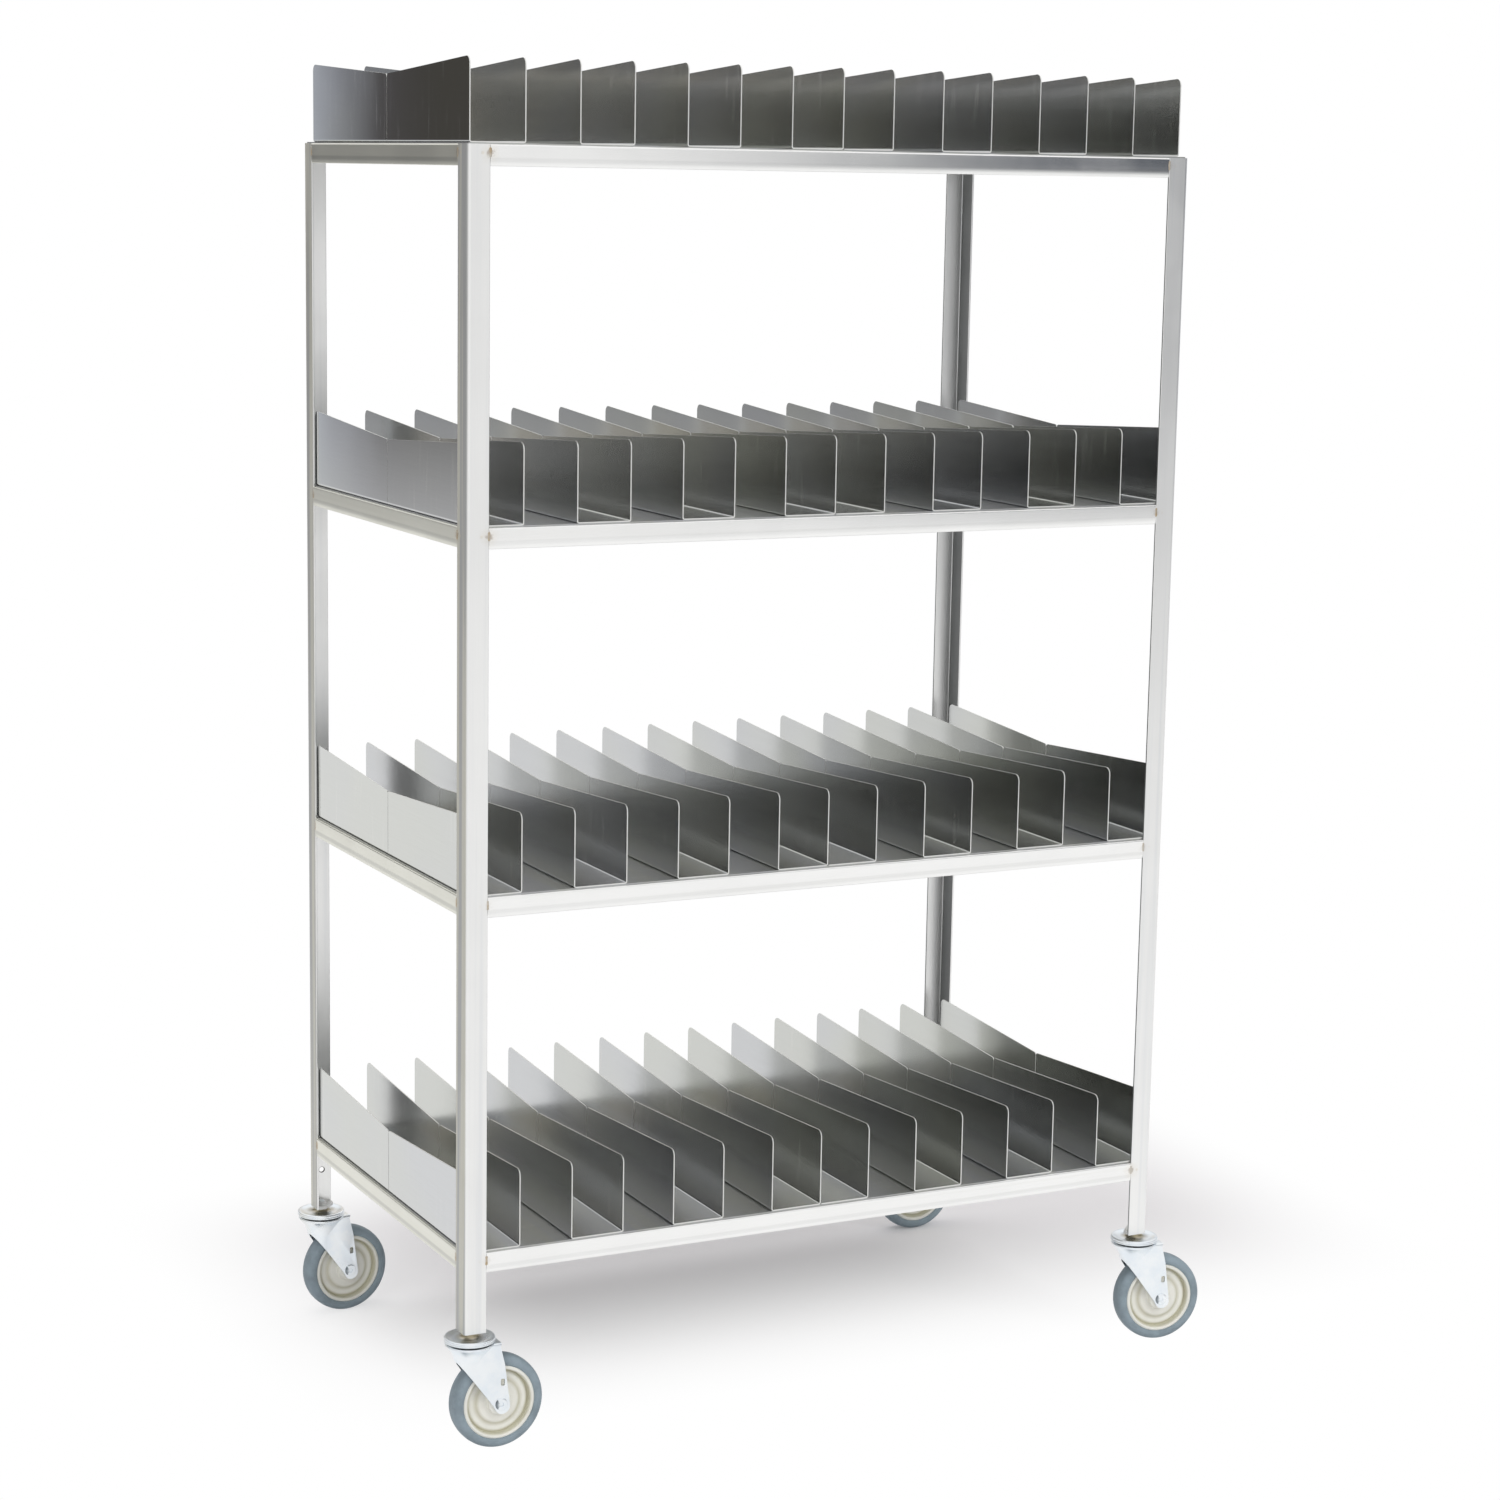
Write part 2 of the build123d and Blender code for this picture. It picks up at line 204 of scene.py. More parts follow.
@dataclass
class ShaderGroups:
    """Effects that more than one finish uses, each a shader node group with named sockets."""

    made: dict[str, bpy.types.NodeTree] = field(default_factory=dict)

    def start(self, name: str, inputs: Mapping[str, object]) -> tuple[Tree, Mapping[str, Socket]]:
        """Make a group with named inputs.

        Args:
            name: The group's name.
            inputs: Default of each input, a number or a vector.

        Returns:
            The tree, and the socket that carries each input inside it.
        """
        group = bpy.data.node_groups.new(name, "ShaderNodeTree")
        tree = Tree(group)
        for label, default in inputs.items():
            kind = "NodeSocketFloat" if isinstance(default, float) else "NodeSocketVector"
            group.interface.new_socket(label, in_out="INPUT", socket_type=kind).default_value = default
        self.made[name] = group
        return tree, tree.add("NodeGroupInput").outputs

    def end(self, tree: Tree, outputs: Mapping[str, Socket]) -> None:
        """Give a group its named outputs.

        Args:
            tree: The group's tree.
            outputs: The value that each output carries.
        """
        for label in outputs:
            tree.tree.interface.new_socket(label, in_out="OUTPUT", socket_type="NodeSocketFloat")
        tree.add("NodeGroupOutput", outputs)

    def build(self) -> None:
        """Build every group once."""
        self.build_brushing()
        self.build_marks()
        self.build_stains()
        self.build_heat()

    def build_brushing(self) -> None:
        """Fine lines of rolling or brushing, stretched along the grain."""
        tree, source = self.start("brushing", {"Stretch": (1.0, 1.0, 1.0), "Scale": 900.0})
        drawn = tree.vector_math("MULTIPLY", tree.place(), source["Stretch"])
        fine = tree.noise(drawn, source["Scale"], 4.0, 0.7)
        broad = tree.noise(drawn, tree.times(source["Scale"], 0.06), 2.0)
        self.end(tree, {"Lines": fine, "Broad": broad})

    def build_marks(self) -> None:
        """Handling marks: cloudy smears, a few thin scratches and fine specks."""
        tree, source = self.start("handling_marks", {"Cloud Scale": 9.0, "Scratch Scale": 52.0})
        place = tree.place()
        smear = tree.ramp(tree.noise(place, source["Cloud Scale"], 5.0, 0.6), 0.35, 0.68)
        feeds = {"Vector": place, "Scale": source["Scratch Scale"]}
        cells = tree.add("ShaderNodeTexVoronoi", feeds, feature="DISTANCE_TO_EDGE")
        line = tree.opposite(tree.ramp(cells.outputs["Distance"], 0.002, 0.012))
        patchy = tree.ramp(tree.noise(place, 31.0, 2.0), 0.55, 0.72)
        speck = tree.ramp(tree.noise(place, 330.0, 2.0), 0.8, 0.86)
        self.end(tree, {"Smear": smear, "Scratch": tree.times(line, patchy), "Speck": speck})

    def build_stains(self) -> None:
        """Drying marks: pale upright smears that run down a wall."""
        tree, source = self.start("drying_marks", {"Streak Scale": 60.0})
        place = tree.place()
        tall = tree.vector_math("MULTIPLY", place, (1.0, 1.0, 0.12))
        streak = tree.ramp(tree.noise(tall, source["Streak Scale"], 2.0, 0.5), 0.52, 0.78)
        pool = tree.ramp(tree.noise(place, 5.0, 2.0), 0.42, 0.62)
        self.end(tree, {"Streak": streak, "Pool": pool})

    def build_heat(self) -> None:
        """Heat of the tack welds: a ragged spot and a halo at each seam, and a dimple beside it."""
        seams, dimples = ("Long Seam", "Short Seam"), ("Long Dimple", "Short Dimple")
        points = dict.fromkeys(("Middle", *seams, *dimples), (0.0, 0.0, 0.0))
        tree, source = self.start("weld_heat", {**points, "Spacing": 0.47})
        place = tree.place()
        parts = tree.split(tree.vector_math("SUBTRACT", place, source["Middle"]))
        step = tree.math("DIVIDE", parts["Z"], source["Spacing"])
        away = tree.math("SUBTRACT", step, tree.math("ROUND", step))
        across, along = (tree.math("ABSOLUTE", parts[axis]) for axis in "XY")
        folded = tree.join(across, along, tree.times(away, source["Spacing"]))
        seam = self.nearest(tree, folded, [source[name] for name in seams])
        dimple = self.nearest(tree, folded, [source[name] for name in dimples])
        ragged = tree.math("SUBTRACT", tree.noise(place, 190.0), 0.5)
        seam = tree.math("MULTIPLY_ADD", ragged, 0.011, seam)
        uneven = tree.math("MULTIPLY_ADD", tree.ramp(tree.noise(place, 2.3, 1.0), 0.4, 0.6), 0.8, 0.2)
        reaches = {"Spot": (seam, 1.5, 6.5), "Halo": (seam, 4.0, 16.0), "Dimple": (dimple, 0.8, 3.2)}
        masks = {}
        for label, (gap, near, far) in reaches.items():
            masks[label] = tree.times(tree.opposite(tree.ramp(gap, near * MM, far * MM)), uneven)
        self.end(tree, masks)

    def nearest(self, tree: Tree, spot: Socket, points: Sequence[Socket]) -> Socket:
        """Distance from a point to the nearer of two others.

        Args:
            tree: The group's tree.
            spot: The point.
            points: The two others.

        Returns:
            The distance socket.
        """
        gaps = []
        for point in points:
            gap = tree.add("ShaderNodeVectorMath", {0: spot, 1: point}, operation="DISTANCE")
            gaps.append(gap.outputs["Value"])
        return tree.math("MINIMUM", *gaps)


GROUPS = ShaderGroups()


# Finishes

@dataclass
class Dressing:
    """A material that is being built: its tree and its shader."""

    material: Material
    tree: Tree
    shader: Node

    @classmethod
    def start(cls, name: str, **values: float) -> "Dressing":
        """Make a material whose shader is joined to its output.

        Args:
            name: The material's name.
            values: Plain values for the shader's inputs, with spaces in names as underscores.

        Returns:
            The new dressing.
        """
        material = bpy.data.materials.new(name)
        material.use_nodes = True
        tree = Tree(material.node_tree)
        shader = tree.add("ShaderNodeBsdfPrincipled", {k.replace("_", " "): v for k, v in values.items()})
        tree.add("ShaderNodeOutputMaterial", {"Surface": shader.outputs["BSDF"]})
        return cls(material, tree, shader)

    def group(self, name: str, **values: object) -> Mapping[str, Socket]:
        """Place a shared effect with its values, spaces in names as underscores, and give its outputs."""
        feeds = {label.replace("_", " "): value for label, value in values.items()}
        return self.tree.add("ShaderNodeGroup", feeds, node_tree=GROUPS.made[name]).outputs

    def colour(self, value: object) -> None:
        """Feed the base colour."""
        self.tree.feed(self.shader.inputs["Base Color"], value)

    def rough(self, value: object) -> None:
        """Feed the roughness."""
        self.tree.feed(self.shader.inputs["Roughness"], value)

    def attribute(self, name: str) -> Socket:
        """Read a value that the mesh carries at its points."""
        return self.tree.add("ShaderNodeAttribute", attribute_name=name).outputs["Fac"]

    def spread(self, mask: Socket, low: float, high: float) -> Socket:
        """Map a mask onto a range of values, low where it is 0 and high where it is 1."""
        return self.tree.math("MULTIPLY_ADD", mask, high - low, low)

    def bump(self, height: Socket, distance: float, strength: float = 1.0) -> None:
        """Join a height to the shader's normal through a bump node."""
        feeds = {"Height": height, "Distance": distance, "Strength": strength}
        self.tree.feed(self.shader.inputs["Normal"], self.tree.add("ShaderNodeBump", feeds).outputs["Normal"])


@dataclass(frozen=True)
class HeatPlan:
    """Where the rails are welded to the posts, for the heat marks."""

    middle: Vector
    seam: Point2
    reach: Point2
    spacing: float
    rail: float
    drop: float = 11.0 * MM
    dimple: float = 10.0 * MM

    @classmethod
    def read(cls) -> "HeatPlan":
        """Take the seams from the rails and the frame."""
        low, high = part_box("shelf_1_front_rail")
        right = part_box("shelf_1_right_rail")[1]
        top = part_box("shelf_4_front_rail")[1].z
        middle = Vector(((low.x + high.x) / 2, 0.0, high.z - cls.drop))
        return cls(
            middle=middle,
            seam=(high.x - middle.x, right.y),
            reach=(right.x - middle.x, -low.y),
            spacing=(top - high.z) / (len(SHELVES) - 1),
            rail=high.z - low.z,
        )

    def values(self) -> dict[str, object]:
        """Input values for the shader group."""
        return {
            "Middle": self.middle,
            "Long_Seam": (self.seam[0], self.reach[1], 0.0),
            "Short_Seam": (self.reach[0], self.seam[1], 0.0),
            "Long_Dimple": (self.seam[0] + self.dimple, self.reach[1], 0.0),
            "Short_Dimple": (self.reach[0], self.seam[1] + self.dimple, 0.0),
            "Spacing": self.spacing,
        }


@dataclass(frozen=True)
class BrushedMetal:
    """Brushed mill-finish metal of the posts and rails, with heat marks at the welds."""

    name: str
    grain: Grain
    heat: HeatPlan
    light: Colour = (0.96, 0.96, 0.95)
    dark: Colour = (0.88, 0.88, 0.87)
    band: Colour = (0.66, 0.65, 0.58)
    straw: Colour = (0.74, 0.66, 0.52)
    brown: Colour = (0.26, 0.17, 0.09)
    # Painted shade: the dark tone of the side faces and of a band low on each rail; olive is a painted reflection
    # on outward-looking side faces.
    painted_shade_tone: Colour = (0.11, 0.12, 0.13)
    olive: Colour = (0.45, 0.43, 0.32)
    rough_low: float = 0.34
    rough_high: float = 0.46
    band_share: float = 0.35
    # Shares of painted shade on faces that look left and right, more on inward ones, and in a band low on each
    # rail.
    side_shade_share: float = 0.0
    inner_shade_share: float = 0.0
    rail_band_shade_share: float = 0.0
    side_rough: float = 0.4
    line_scale: float = 1500.0
    line_depth: float = 0.04 * MM
    cloud_scale: float = 7.0
    smear_share: float = 0.18
    smear_rough: float = 0.06
    halo_share: float = 0.18
    spot_share: float = 0.5
    dimple_share: float = 0.35
    dimple_depth: float = 9.0

    def painted_side_shade(self, tree: Tree) -> tuple[Socket, Socket]:
        """Painted shade on the faces that look left and right.

        Args:
            tree: The material's tree.

        Returns:
            Share of painted shade, more where a face looks inwards, and mask of the faces that look outwards.
        """
        facing = tree.split(tree.add("ShaderNodeNewGeometry").outputs["Normal"])
        sideways = tree.ramp(tree.math("ABSOLUTE", facing["X"]), 0.55, 0.9)
        outwards = tree.times(facing["X"], tree.split(tree.place())["X"])
        inwards = tree.times(tree.ramp(outwards, -0.2, -0.4), self.inner_shade_share)
        return tree.math("MULTIPLY_ADD", sideways, self.side_shade_share, inwards), tree.ramp(outwards, 0.2, 0.4)

    def rail_band_shade_mask(self, tree: Tree) -> Socket:
        """Mask of the painted shade band along the lower part of every rail."""
        top = self.heat.middle.z + self.heat.drop
        down = tree.math("SUBTRACT", top + len(SHELVES) * self.heat.spacing, tree.split(tree.place())["Z"])
        share = tree.math("DIVIDE", tree.math("MODULO", down, self.heat.spacing), self.heat.rail)
        return tree.times(tree.ramp(share, 0.56, 0.68), tree.opposite(tree.ramp(share, 0.76, 0.9)))

    def make(self) -> Material:
        """Build the material: brushed tones, then painted shade on the side faces and in a band low on each rail,
        and heat marks laid over them.
        """
        dress = Dressing.start(self.name, Metallic=1.0)
        tree = dress.tree
        lines = dress.group("brushing", Stretch=self.grain.value, Scale=self.line_scale)
        marks = dress.group("handling_marks", Cloud_Scale=self.cloud_scale)
        heat = dress.group("weld_heat", **self.heat.values())
        side, outer = self.painted_side_shade(tree)
        streaks = tree.times(tree.ramp(lines["Broad"], 0.4, 0.6), outer)
        layers = (
            (tree.times(tree.ramp(lines["Broad"], 0.5, 0.75), self.band_share), self.band),
            (tree.times(marks["Smear"], self.smear_share), self.dark),
            # Painted shade on the side faces, with olive painted reflection on the outward ones, then a painted
            # shade band low on each rail.
            (side, tree.mix(streaks, self.painted_shade_tone, self.olive)),
            (tree.times(self.rail_band_shade_mask(tree), self.rail_band_shade_share), self.painted_shade_tone),
            (tree.times(heat["Halo"], self.halo_share), self.straw),
            (tree.times(heat["Dimple"], self.dimple_share), self.straw),
            (tree.times(heat["Spot"], self.spot_share), self.brown),
        )
        tone = tree.mix(lines["Lines"], self.dark, self.light)
        for share, colour in layers:
            tone = tree.mix(share, tone, colour)
        dress.colour(tone)
        roughness = dress.spread(lines["Broad"], self.rough_low, self.rough_high)
        roughness = tree.math("MULTIPLY_ADD", side, self.side_rough, roughness)
        dress.rough(tree.math("MULTIPLY_ADD", marks["Smear"], self.smear_rough, roughness))
        relief = tree.math("MULTIPLY_ADD", heat["Dimple"], -self.dimple_depth, lines["Lines"])
        dress.bump(relief, self.line_depth, 0.5)
        return dress.material


@dataclass(frozen=True)
class SheetMetal:
    """Bright rolled sheet of the shelves, with faint drying marks and a few bright specks."""

    name: str
    grain: Grain
    light: Colour = (0.63, 0.645, 0.64)
    dark: Colour = (0.56, 0.57, 0.56)
    olive: Colour = (1.0, 0.995, 0.96)
    violet: Colour = (0.975, 0.97, 1.0)
    pale: Colour = (0.74, 0.73, 0.70)
    tint_run: tuple[float, float, float] = (31.0, 2.4, 3.0)
    smooth: tuple[float, float] = (0.03, 0.055)
    rubbed: tuple[float, float] = (0.17, 0.24)
    rubbed_from: float = -1.0
    mark_share: float = 0.25
    mark_rough: float = 0.06
    speck_share: float = 0.7
    speck_rough: float = 0.25
    line_depth: float = 0.02 * MM

    def make(self) -> Material:
        """Build the material: smooth on the outermost face, duller where the slots are used."""
        dress = Dressing.start(self.name, Metallic=1.0)
        tree = dress.tree
        lines = dress.group("brushing", Stretch=self.grain.value, Scale=1100.0)
        marks = dress.group("handling_marks", Cloud_Scale=11.0)
        drying = dress.group("drying_marks", Streak_Scale=95.0)
        place = tree.place()
        drift = tree.noise(tree.vector_math("MULTIPLY", place, self.tint_run), 1.0, 2.0)
        tint = tree.mix(tree.ramp(drift, 0.36, 0.64), self.olive, self.violet)
        smeared = tree.times(drying["Streak"], drying["Pool"])
        speck = tree.times(marks["Speck"], drying["Pool"])
        tone = tree.mix(1.0, tree.mix(lines["Lines"], self.dark, self.light), tint, "MULTIPLY")
        tone = tree.mix(tree.times(smeared, self.mark_share), tone, self.pale)
        dress.colour(tree.mix(tree.times(speck, self.speck_share), tone, self.pale))
        used = tree.math("GREATER_THAN", tree.split(place)["X"], self.rubbed_from)
        smooth = dress.spread(lines["Broad"], *self.smooth)
        rubbed = dress.spread(lines["Broad"], *self.rubbed)
        roughness = tree.math("MULTIPLY_ADD", used, tree.math("SUBTRACT", rubbed, smooth), smooth)
        roughness = tree.math("MULTIPLY_ADD", smeared, self.mark_rough, roughness)
        dress.rough(tree.math("MULTIPLY_ADD", speck, self.speck_rough, roughness))
        dress.bump(lines["Lines"], self.line_depth, 0.3)
        return dress.material


@dataclass(frozen=True)
class CutEdge:
    """Bare sheared edge of the shelf sheet, brighter than its faces."""

    name: str = "cut_edge"
    light: Colour = (0.90, 0.90, 0.88)
    dark: Colour = (0.76, 0.76, 0.74)

    def make(self) -> Material:
        """Build the material."""
        dress = Dressing.start(self.name, Metallic=1.0)
        tree = dress.tree
        lines = dress.group("brushing", Stretch=Grain.ROUND.value, Scale=700.0)
        dress.colour(tree.mix(lines["Lines"], self.dark, self.light))
        dress.rough(dress.spread(lines["Broad"], 0.38, 0.55))
        dress.bump(lines["Lines"], 0.08 * MM, 0.5)
        return dress.material


@dataclass(frozen=True)
class ZincPlate:
    """Bright zinc plate of the casters, with faint blue and straw tints, and painted shade where its mesh asks for
    it.
    """

    name: str
    light: Colour = (0.91, 0.94, 0.96)
    blue: Colour = (0.68, 0.78, 0.88)
    straw: Colour = (0.80, 0.74, 0.56)
    # Colour of the painted shade, laid where the mesh's attribute asks for it.
    painted_shade: Colour = (0.36, 0.315, 0.22)
    rough_low: float = 0.22
    rough_high: float = 0.36

    def make(self) -> Material:
        """Build the material."""
        dress = Dressing.start(self.name, Metallic=1.0)
        tree = dress.tree
        marks = dress.group("handling_marks", Cloud_Scale=38.0)
        lines = dress.group("brushing", Stretch=Grain.ROUND.value, Scale=420.0)
        drying = dress.group("drying_marks", Streak_Scale=34.0)
        tone = tree.mix(tree.times(marks["Smear"], 0.35), self.light, self.blue)
        tone = tree.mix(tree.times(drying["Streak"], 0.2), tone, self.straw)
        # Painted shade from the mesh attribute.
        dress.colour(tree.mix(dress.attribute(PAINTED_SHADE), tone, self.painted_shade))
        dress.rough(dress.spread(lines["Broad"], self.rough_low, self.rough_high))
        dress.bump(lines["Lines"], 0.06 * MM, 0.35)
        return dress.material


@dataclass(frozen=True)
class Weld:
    """Weld metal with brown and straw heat colours."""

    name: str = "weld_metal"
    bright: Colour = (0.74, 0.72, 0.66)
    straw: Colour = (0.56, 0.42, 0.24)
    brown: Colour = (0.28, 0.20, 0.14)

    def make(self) -> Material:
        """Build the material."""
        dress = Dressing.start(self.name, Metallic=1.0)
        tree = dress.tree
        marks = dress.group("handling_marks", Cloud_Scale=70.0)
        lines = dress.group("brushing", Stretch=Grain.ROUND.value, Scale=600.0)
        tone = tree.mix(marks["Smear"], self.bright, self.straw)
        tone = tree.mix(tree.times(lines["Broad"], 0.45), tone, self.brown)
        dress.colour(tone)
        dress.rough(dress.spread(lines["Lines"], 0.3, 0.5))
        dress.bump(lines["Lines"], 0.1 * MM, 0.5)
        return dress.material


@dataclass(frozen=True)
class MouldedPlastic:
    """Cream moulded plastic of the wheel cores."""

    name: str = "wheel_core_plastic"
    light: Colour = (0.92, 0.925, 0.85)
    dark: Colour = (0.79, 0.785, 0.69)
    # Colour of the painted shade in the core's step and beside its rim.
    groove_shade: Colour = (0.50, 0.48, 0.33)
    speck: Colour = (0.25, 0.23, 0.19)

    def make(self) -> Material:
        """Build the material."""
        dress = Dressing.start(self.name, Specular_IOR_Level=0.45)
        tree = dress.tree
        marks = dress.group("handling_marks", Cloud_Scale=30.0)
        lines = dress.group("brushing", Stretch=Grain.ROUND.value, Scale=900.0)
        tone = tree.mix(tree.times(marks["Smear"], 0.35), self.light, self.dark)
        tone = tree.mix(tree.times(marks["Speck"], 0.5), tone, self.speck)
        # Painted shade in the core's grooves, from the mesh attribute.
        dress.colour(tree.mix(dress.attribute(PAINTED_SHADE), tone, self.groove_shade))
        dress.rough(dress.spread(lines["Broad"], 0.32, 0.46))
        dress.bump(lines["Lines"], 0.05 * MM, 0.4)
        return dress.material


@dataclass(frozen=True)
class Rubber:
    """Blue-grey rubber of the tyres, scuffed along the tread."""

    name: str = "tyre_rubber"
    light: Colour = (0.295, 0.37, 0.415)
    dark: Colour = (0.235, 0.295, 0.33)
    dust: Colour = (0.46, 0.47, 0.46)

    def make(self) -> Material:
        """Build the material."""
        dress = Dressing.start(self.name, Specular_IOR_Level=0.35)
        tree = dress.tree
        marks = dress.group("handling_marks", Cloud_Scale=42.0, Scratch_Scale=110.0)
        lines = dress.group("brushing", Stretch=Grain.ROUND.value, Scale=1600.0)
        tone = tree.mix(marks["Smear"], self.light, self.dark)
        tone = tree.mix(tree.times(marks["Scratch"], 0.4), tone, self.dust)
        dress.colour(tone)
        dress.rough(dress.spread(lines["Lines"], 0.5, 0.72))
        dress.bump(lines["Lines"], 0.1 * MM, 0.5)
        return dress.material


@dataclass
class Finishes:
    """Every finish of the rack, built once."""

    posts: Material
    feet: Material
    long_rails: Material
    short_rails: Material
    walls: Material
    floors: Material
    edges: Material
    zinc: Material
    fasteners: Material
    axles: Material
    welds: Material
    bores: Material
    cores: Material
    tyres: Material

    @classmethod
    def build(cls) -> "Finishes":
        """Build the shared groups and then every finish."""
        GROUPS.build()
        heat = HeatPlan.read()
        satin = {"rough_low": 0.3, "rough_high": 0.38}
        # Painted shade: every rail gets a dark band low down, and the side rails take darker, warmer copies of the
        # rail colours for the shade and olive reflection on faces that look left and right.
        side = {"band_share": 0.2, "rail_band_shade_share": 0.25}
        side.update({"light": (0.82, 0.815, 0.745), "dark": (0.73, 0.725, 0.655)})
        front = {"rough_low": 0.15, "rough_high": 0.22, "band_share": 0.08, "rail_band_shade_share": 0.08}
        # Posts take painted shade on faces that look left and right, more on inward ones.
        post = {"band_share": 0.22, "side_shade_share": 0.52, "inner_shade_share": 0.16, "band": (0.62, 0.65, 0.70)}
        level = {"light": (0.51, 0.52, 0.515), "dark": (0.455, 0.46, 0.455)}
        worn = {"light": (0.70, 0.71, 0.70), "rough_low": 0.3, "rough_high": 0.45}
        # Near-black painted shade for the bolt holes' bores, so the holes read dark.
        dark = {"bright": (0.10, 0.10, 0.095), "straw": (0.08, 0.07, 0.06), "brown": (0.04, 0.04, 0.035)}
        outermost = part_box("shelf_1_front_channels")[0].x
        return cls(
            posts=BrushedMetal("post_metal", Grain.ALONG_Z, heat, **satin, **post).make(),
            feet=BrushedMetal("foot_metal", Grain.ROUND, heat, rough_low=0.6, rough_high=0.72).make(),
            long_rails=BrushedMetal("long_rail_metal", Grain.ALONG_X, heat, **front).make(),
            short_rails=BrushedMetal("short_rail_metal", Grain.ALONG_Y, heat, **satin, **side).make(),
            walls=SheetMetal("wall_sheet", Grain.ALONG_Y, rubbed_from=outermost + 0.7 * MM).make(),
            floors=SheetMetal("floor_sheet", Grain.ALONG_X, rubbed=(0.32, 0.42), **level).make(),
            edges=CutEdge().make(),
            zinc=ZincPlate("zinc_plate").make(),
            fasteners=ZincPlate("fastener_zinc", **worn).make(),
            # The axle heads' painted shade is a dark blue-grey.
            axles=ZincPlate("axle_zinc", painted_shade=(0.16, 0.19, 0.21)).make(),
            welds=Weld().make(),
            # The bores reuse the weld finish in near black as painted shade.
            bores=Weld("drilled_bore_shade", **dark).make(),
            cores=MouldedPlastic().make(),
            tyres=Rubber().make(),
        )


# Mesh helpers

def new_piece(name: str, mesh: Mesh, *materials: Material) -> Piece:
    """Link a mesh into the scene as a piece.

    Args:
        name: The piece's name.
        mesh: Its mesh, already in place.
        materials: Materials to add to its slots, in order.

    Returns:
        The new object.
    """
    mesh.name = name
    for material in materials:
        mesh.materials.append(material)
    piece = bpy.data.objects.new(name, mesh)
    bpy.context.scene.collection.objects.link(piece)
    return piece


def settle(piece: Piece, body: str, slot: str, *nodes: str) -> Piece:
    """Make a finished piece ride on a body and stand for CAD nodes.

    Args:
        piece: The finished piece.
        body: The body that it moves with.
        slot: The record's material slot; not used.
        nodes: The CAD nodes that it replaces.

    Returns:
        The same piece.
    """
    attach(piece, body)
    if nodes:
        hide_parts(*nodes)
    LOG.info("%s rides on %s, %d faces", piece.name, body, len(piece.data.polygons))
    return piece


def plain_mesh(piece: Piece) -> Mesh:
    """Evaluate an object's modifiers into a new plain mesh."""
    view = bpy.context.evaluated_depsgraph_get()
    return bpy.data.meshes.new_from_object(piece.evaluated_get(view))


def mesh_from(name: str, shape: bmesh.types.BMesh, crease: float = 32.0) -> Mesh:
    """Turn a bmesh into a mesh with smooth faces and sharp creases.

    Args:
        name: The mesh's name.
        shape: The bmesh, which is freed.
        crease: Angle in degrees above which an edge is sharp.

    Returns:
        The new mesh.
    """
    bmesh.ops.recalc_face_normals(shape, faces=shape.faces)
    mesh = bpy.data.meshes.new(name)
    shape.to_mesh(mesh)
    shape.free()
    mesh.polygons.foreach_set("use_smooth", [True] * len(mesh.polygons))
    mesh.set_sharp_from_angle(angle=math.radians(crease))
    return mesh


def arc(centre: Point2, radius: float, start: float, end: float, steps: int = 6) -> list[Point2]:
    """Points along an arc between two angles in degrees, ends included."""
    angles = [math.radians(start + (end - start) * i / steps) for i in range(steps + 1)]
    return [(centre[0] + radius * math.cos(a), centre[1] + radius * math.sin(a)) for a in angles]


def rounded(points: Sequence[tuple[float, float, float]], steps: int = 4, hold: float = 0.0) -> list[Point2]:
    """Round the corners of a closed outline.

    Args:
        points: Corner points, each with the radius that it is rounded by.
        steps: Steps in each rounded corner.
        hold: How far past each round an extra point holds the face flat.

    Returns:
        The outline's points.
    """
    outline: list[Point2] = []
    count = len(points)
    for index, (x, y, radius) in enumerate(points):
        corner = Vector((x, y))
        before = (Vector(points[index - 1][:2]) - corner).normalized()
        after = (Vector(points[(index + 1) % count][:2]) - corner).normalized()
        if radius <= 0.0:
            outline.append((x, y))
            continue
        half = before.angle(after) / 2
        reach = radius / math.tan(half)
        centre = corner + (before + after).normalized() * (radius / math.sin(half))
        first = corner + before * reach - centre
        last = corner + after * reach - centre
        turn = first.angle_signed(last)
        if hold > 0.0:
            outline.append(tuple(corner + before * (reach + hold)))
        for step in range(steps + 1):
            spoke = first.copy()
            spoke.rotate(Matrix.Rotation(-turn * step / steps, 2))
            outline.append(tuple(centre + spoke))
        if hold > 0.0:
            outline.append(tuple(corner + after * (reach + hold)))
    return outline


def lathe(
    name: str, profile: Sequence[Point2], place: Matrix, segments: int = 72, crease: float = 32.0
) -> Mesh:
    """Turn a closed profile round an axis.

    Args:
        name: The mesh's name.
        profile: Radius and height of each point, in order round the section.
        place: Where the axis stands: its Z is the axis.
        segments: Steps round the axis.
        crease: Angle in degrees above which an edge is sharp.

    Returns:
        The turned mesh.
    """
    shape = bmesh.new()
    rings = []
    for radius, height in profile:
        if radius < 1e-7:
            rings.append([shape.verts.new(place @ Vector((0.0, 0.0, height)))] * segments)
            continue
        circle = arc((0.0, 0.0), radius, 0.0, 360.0, segments)[:-1]
        rings.append([shape.verts.new(place @ Vector((x, y, height))) for x, y in circle])
    for low, high in zip(rings, rings[1:] + rings[:1]):
        for i in range(segments):
            j = (i + 1) % segments
            corners = list(dict.fromkeys((low[i], low[j], high[j], high[i])))
            if len(corners) > 2:
                shape.faces.new(corners)
    return mesh_from(name, shape, crease)


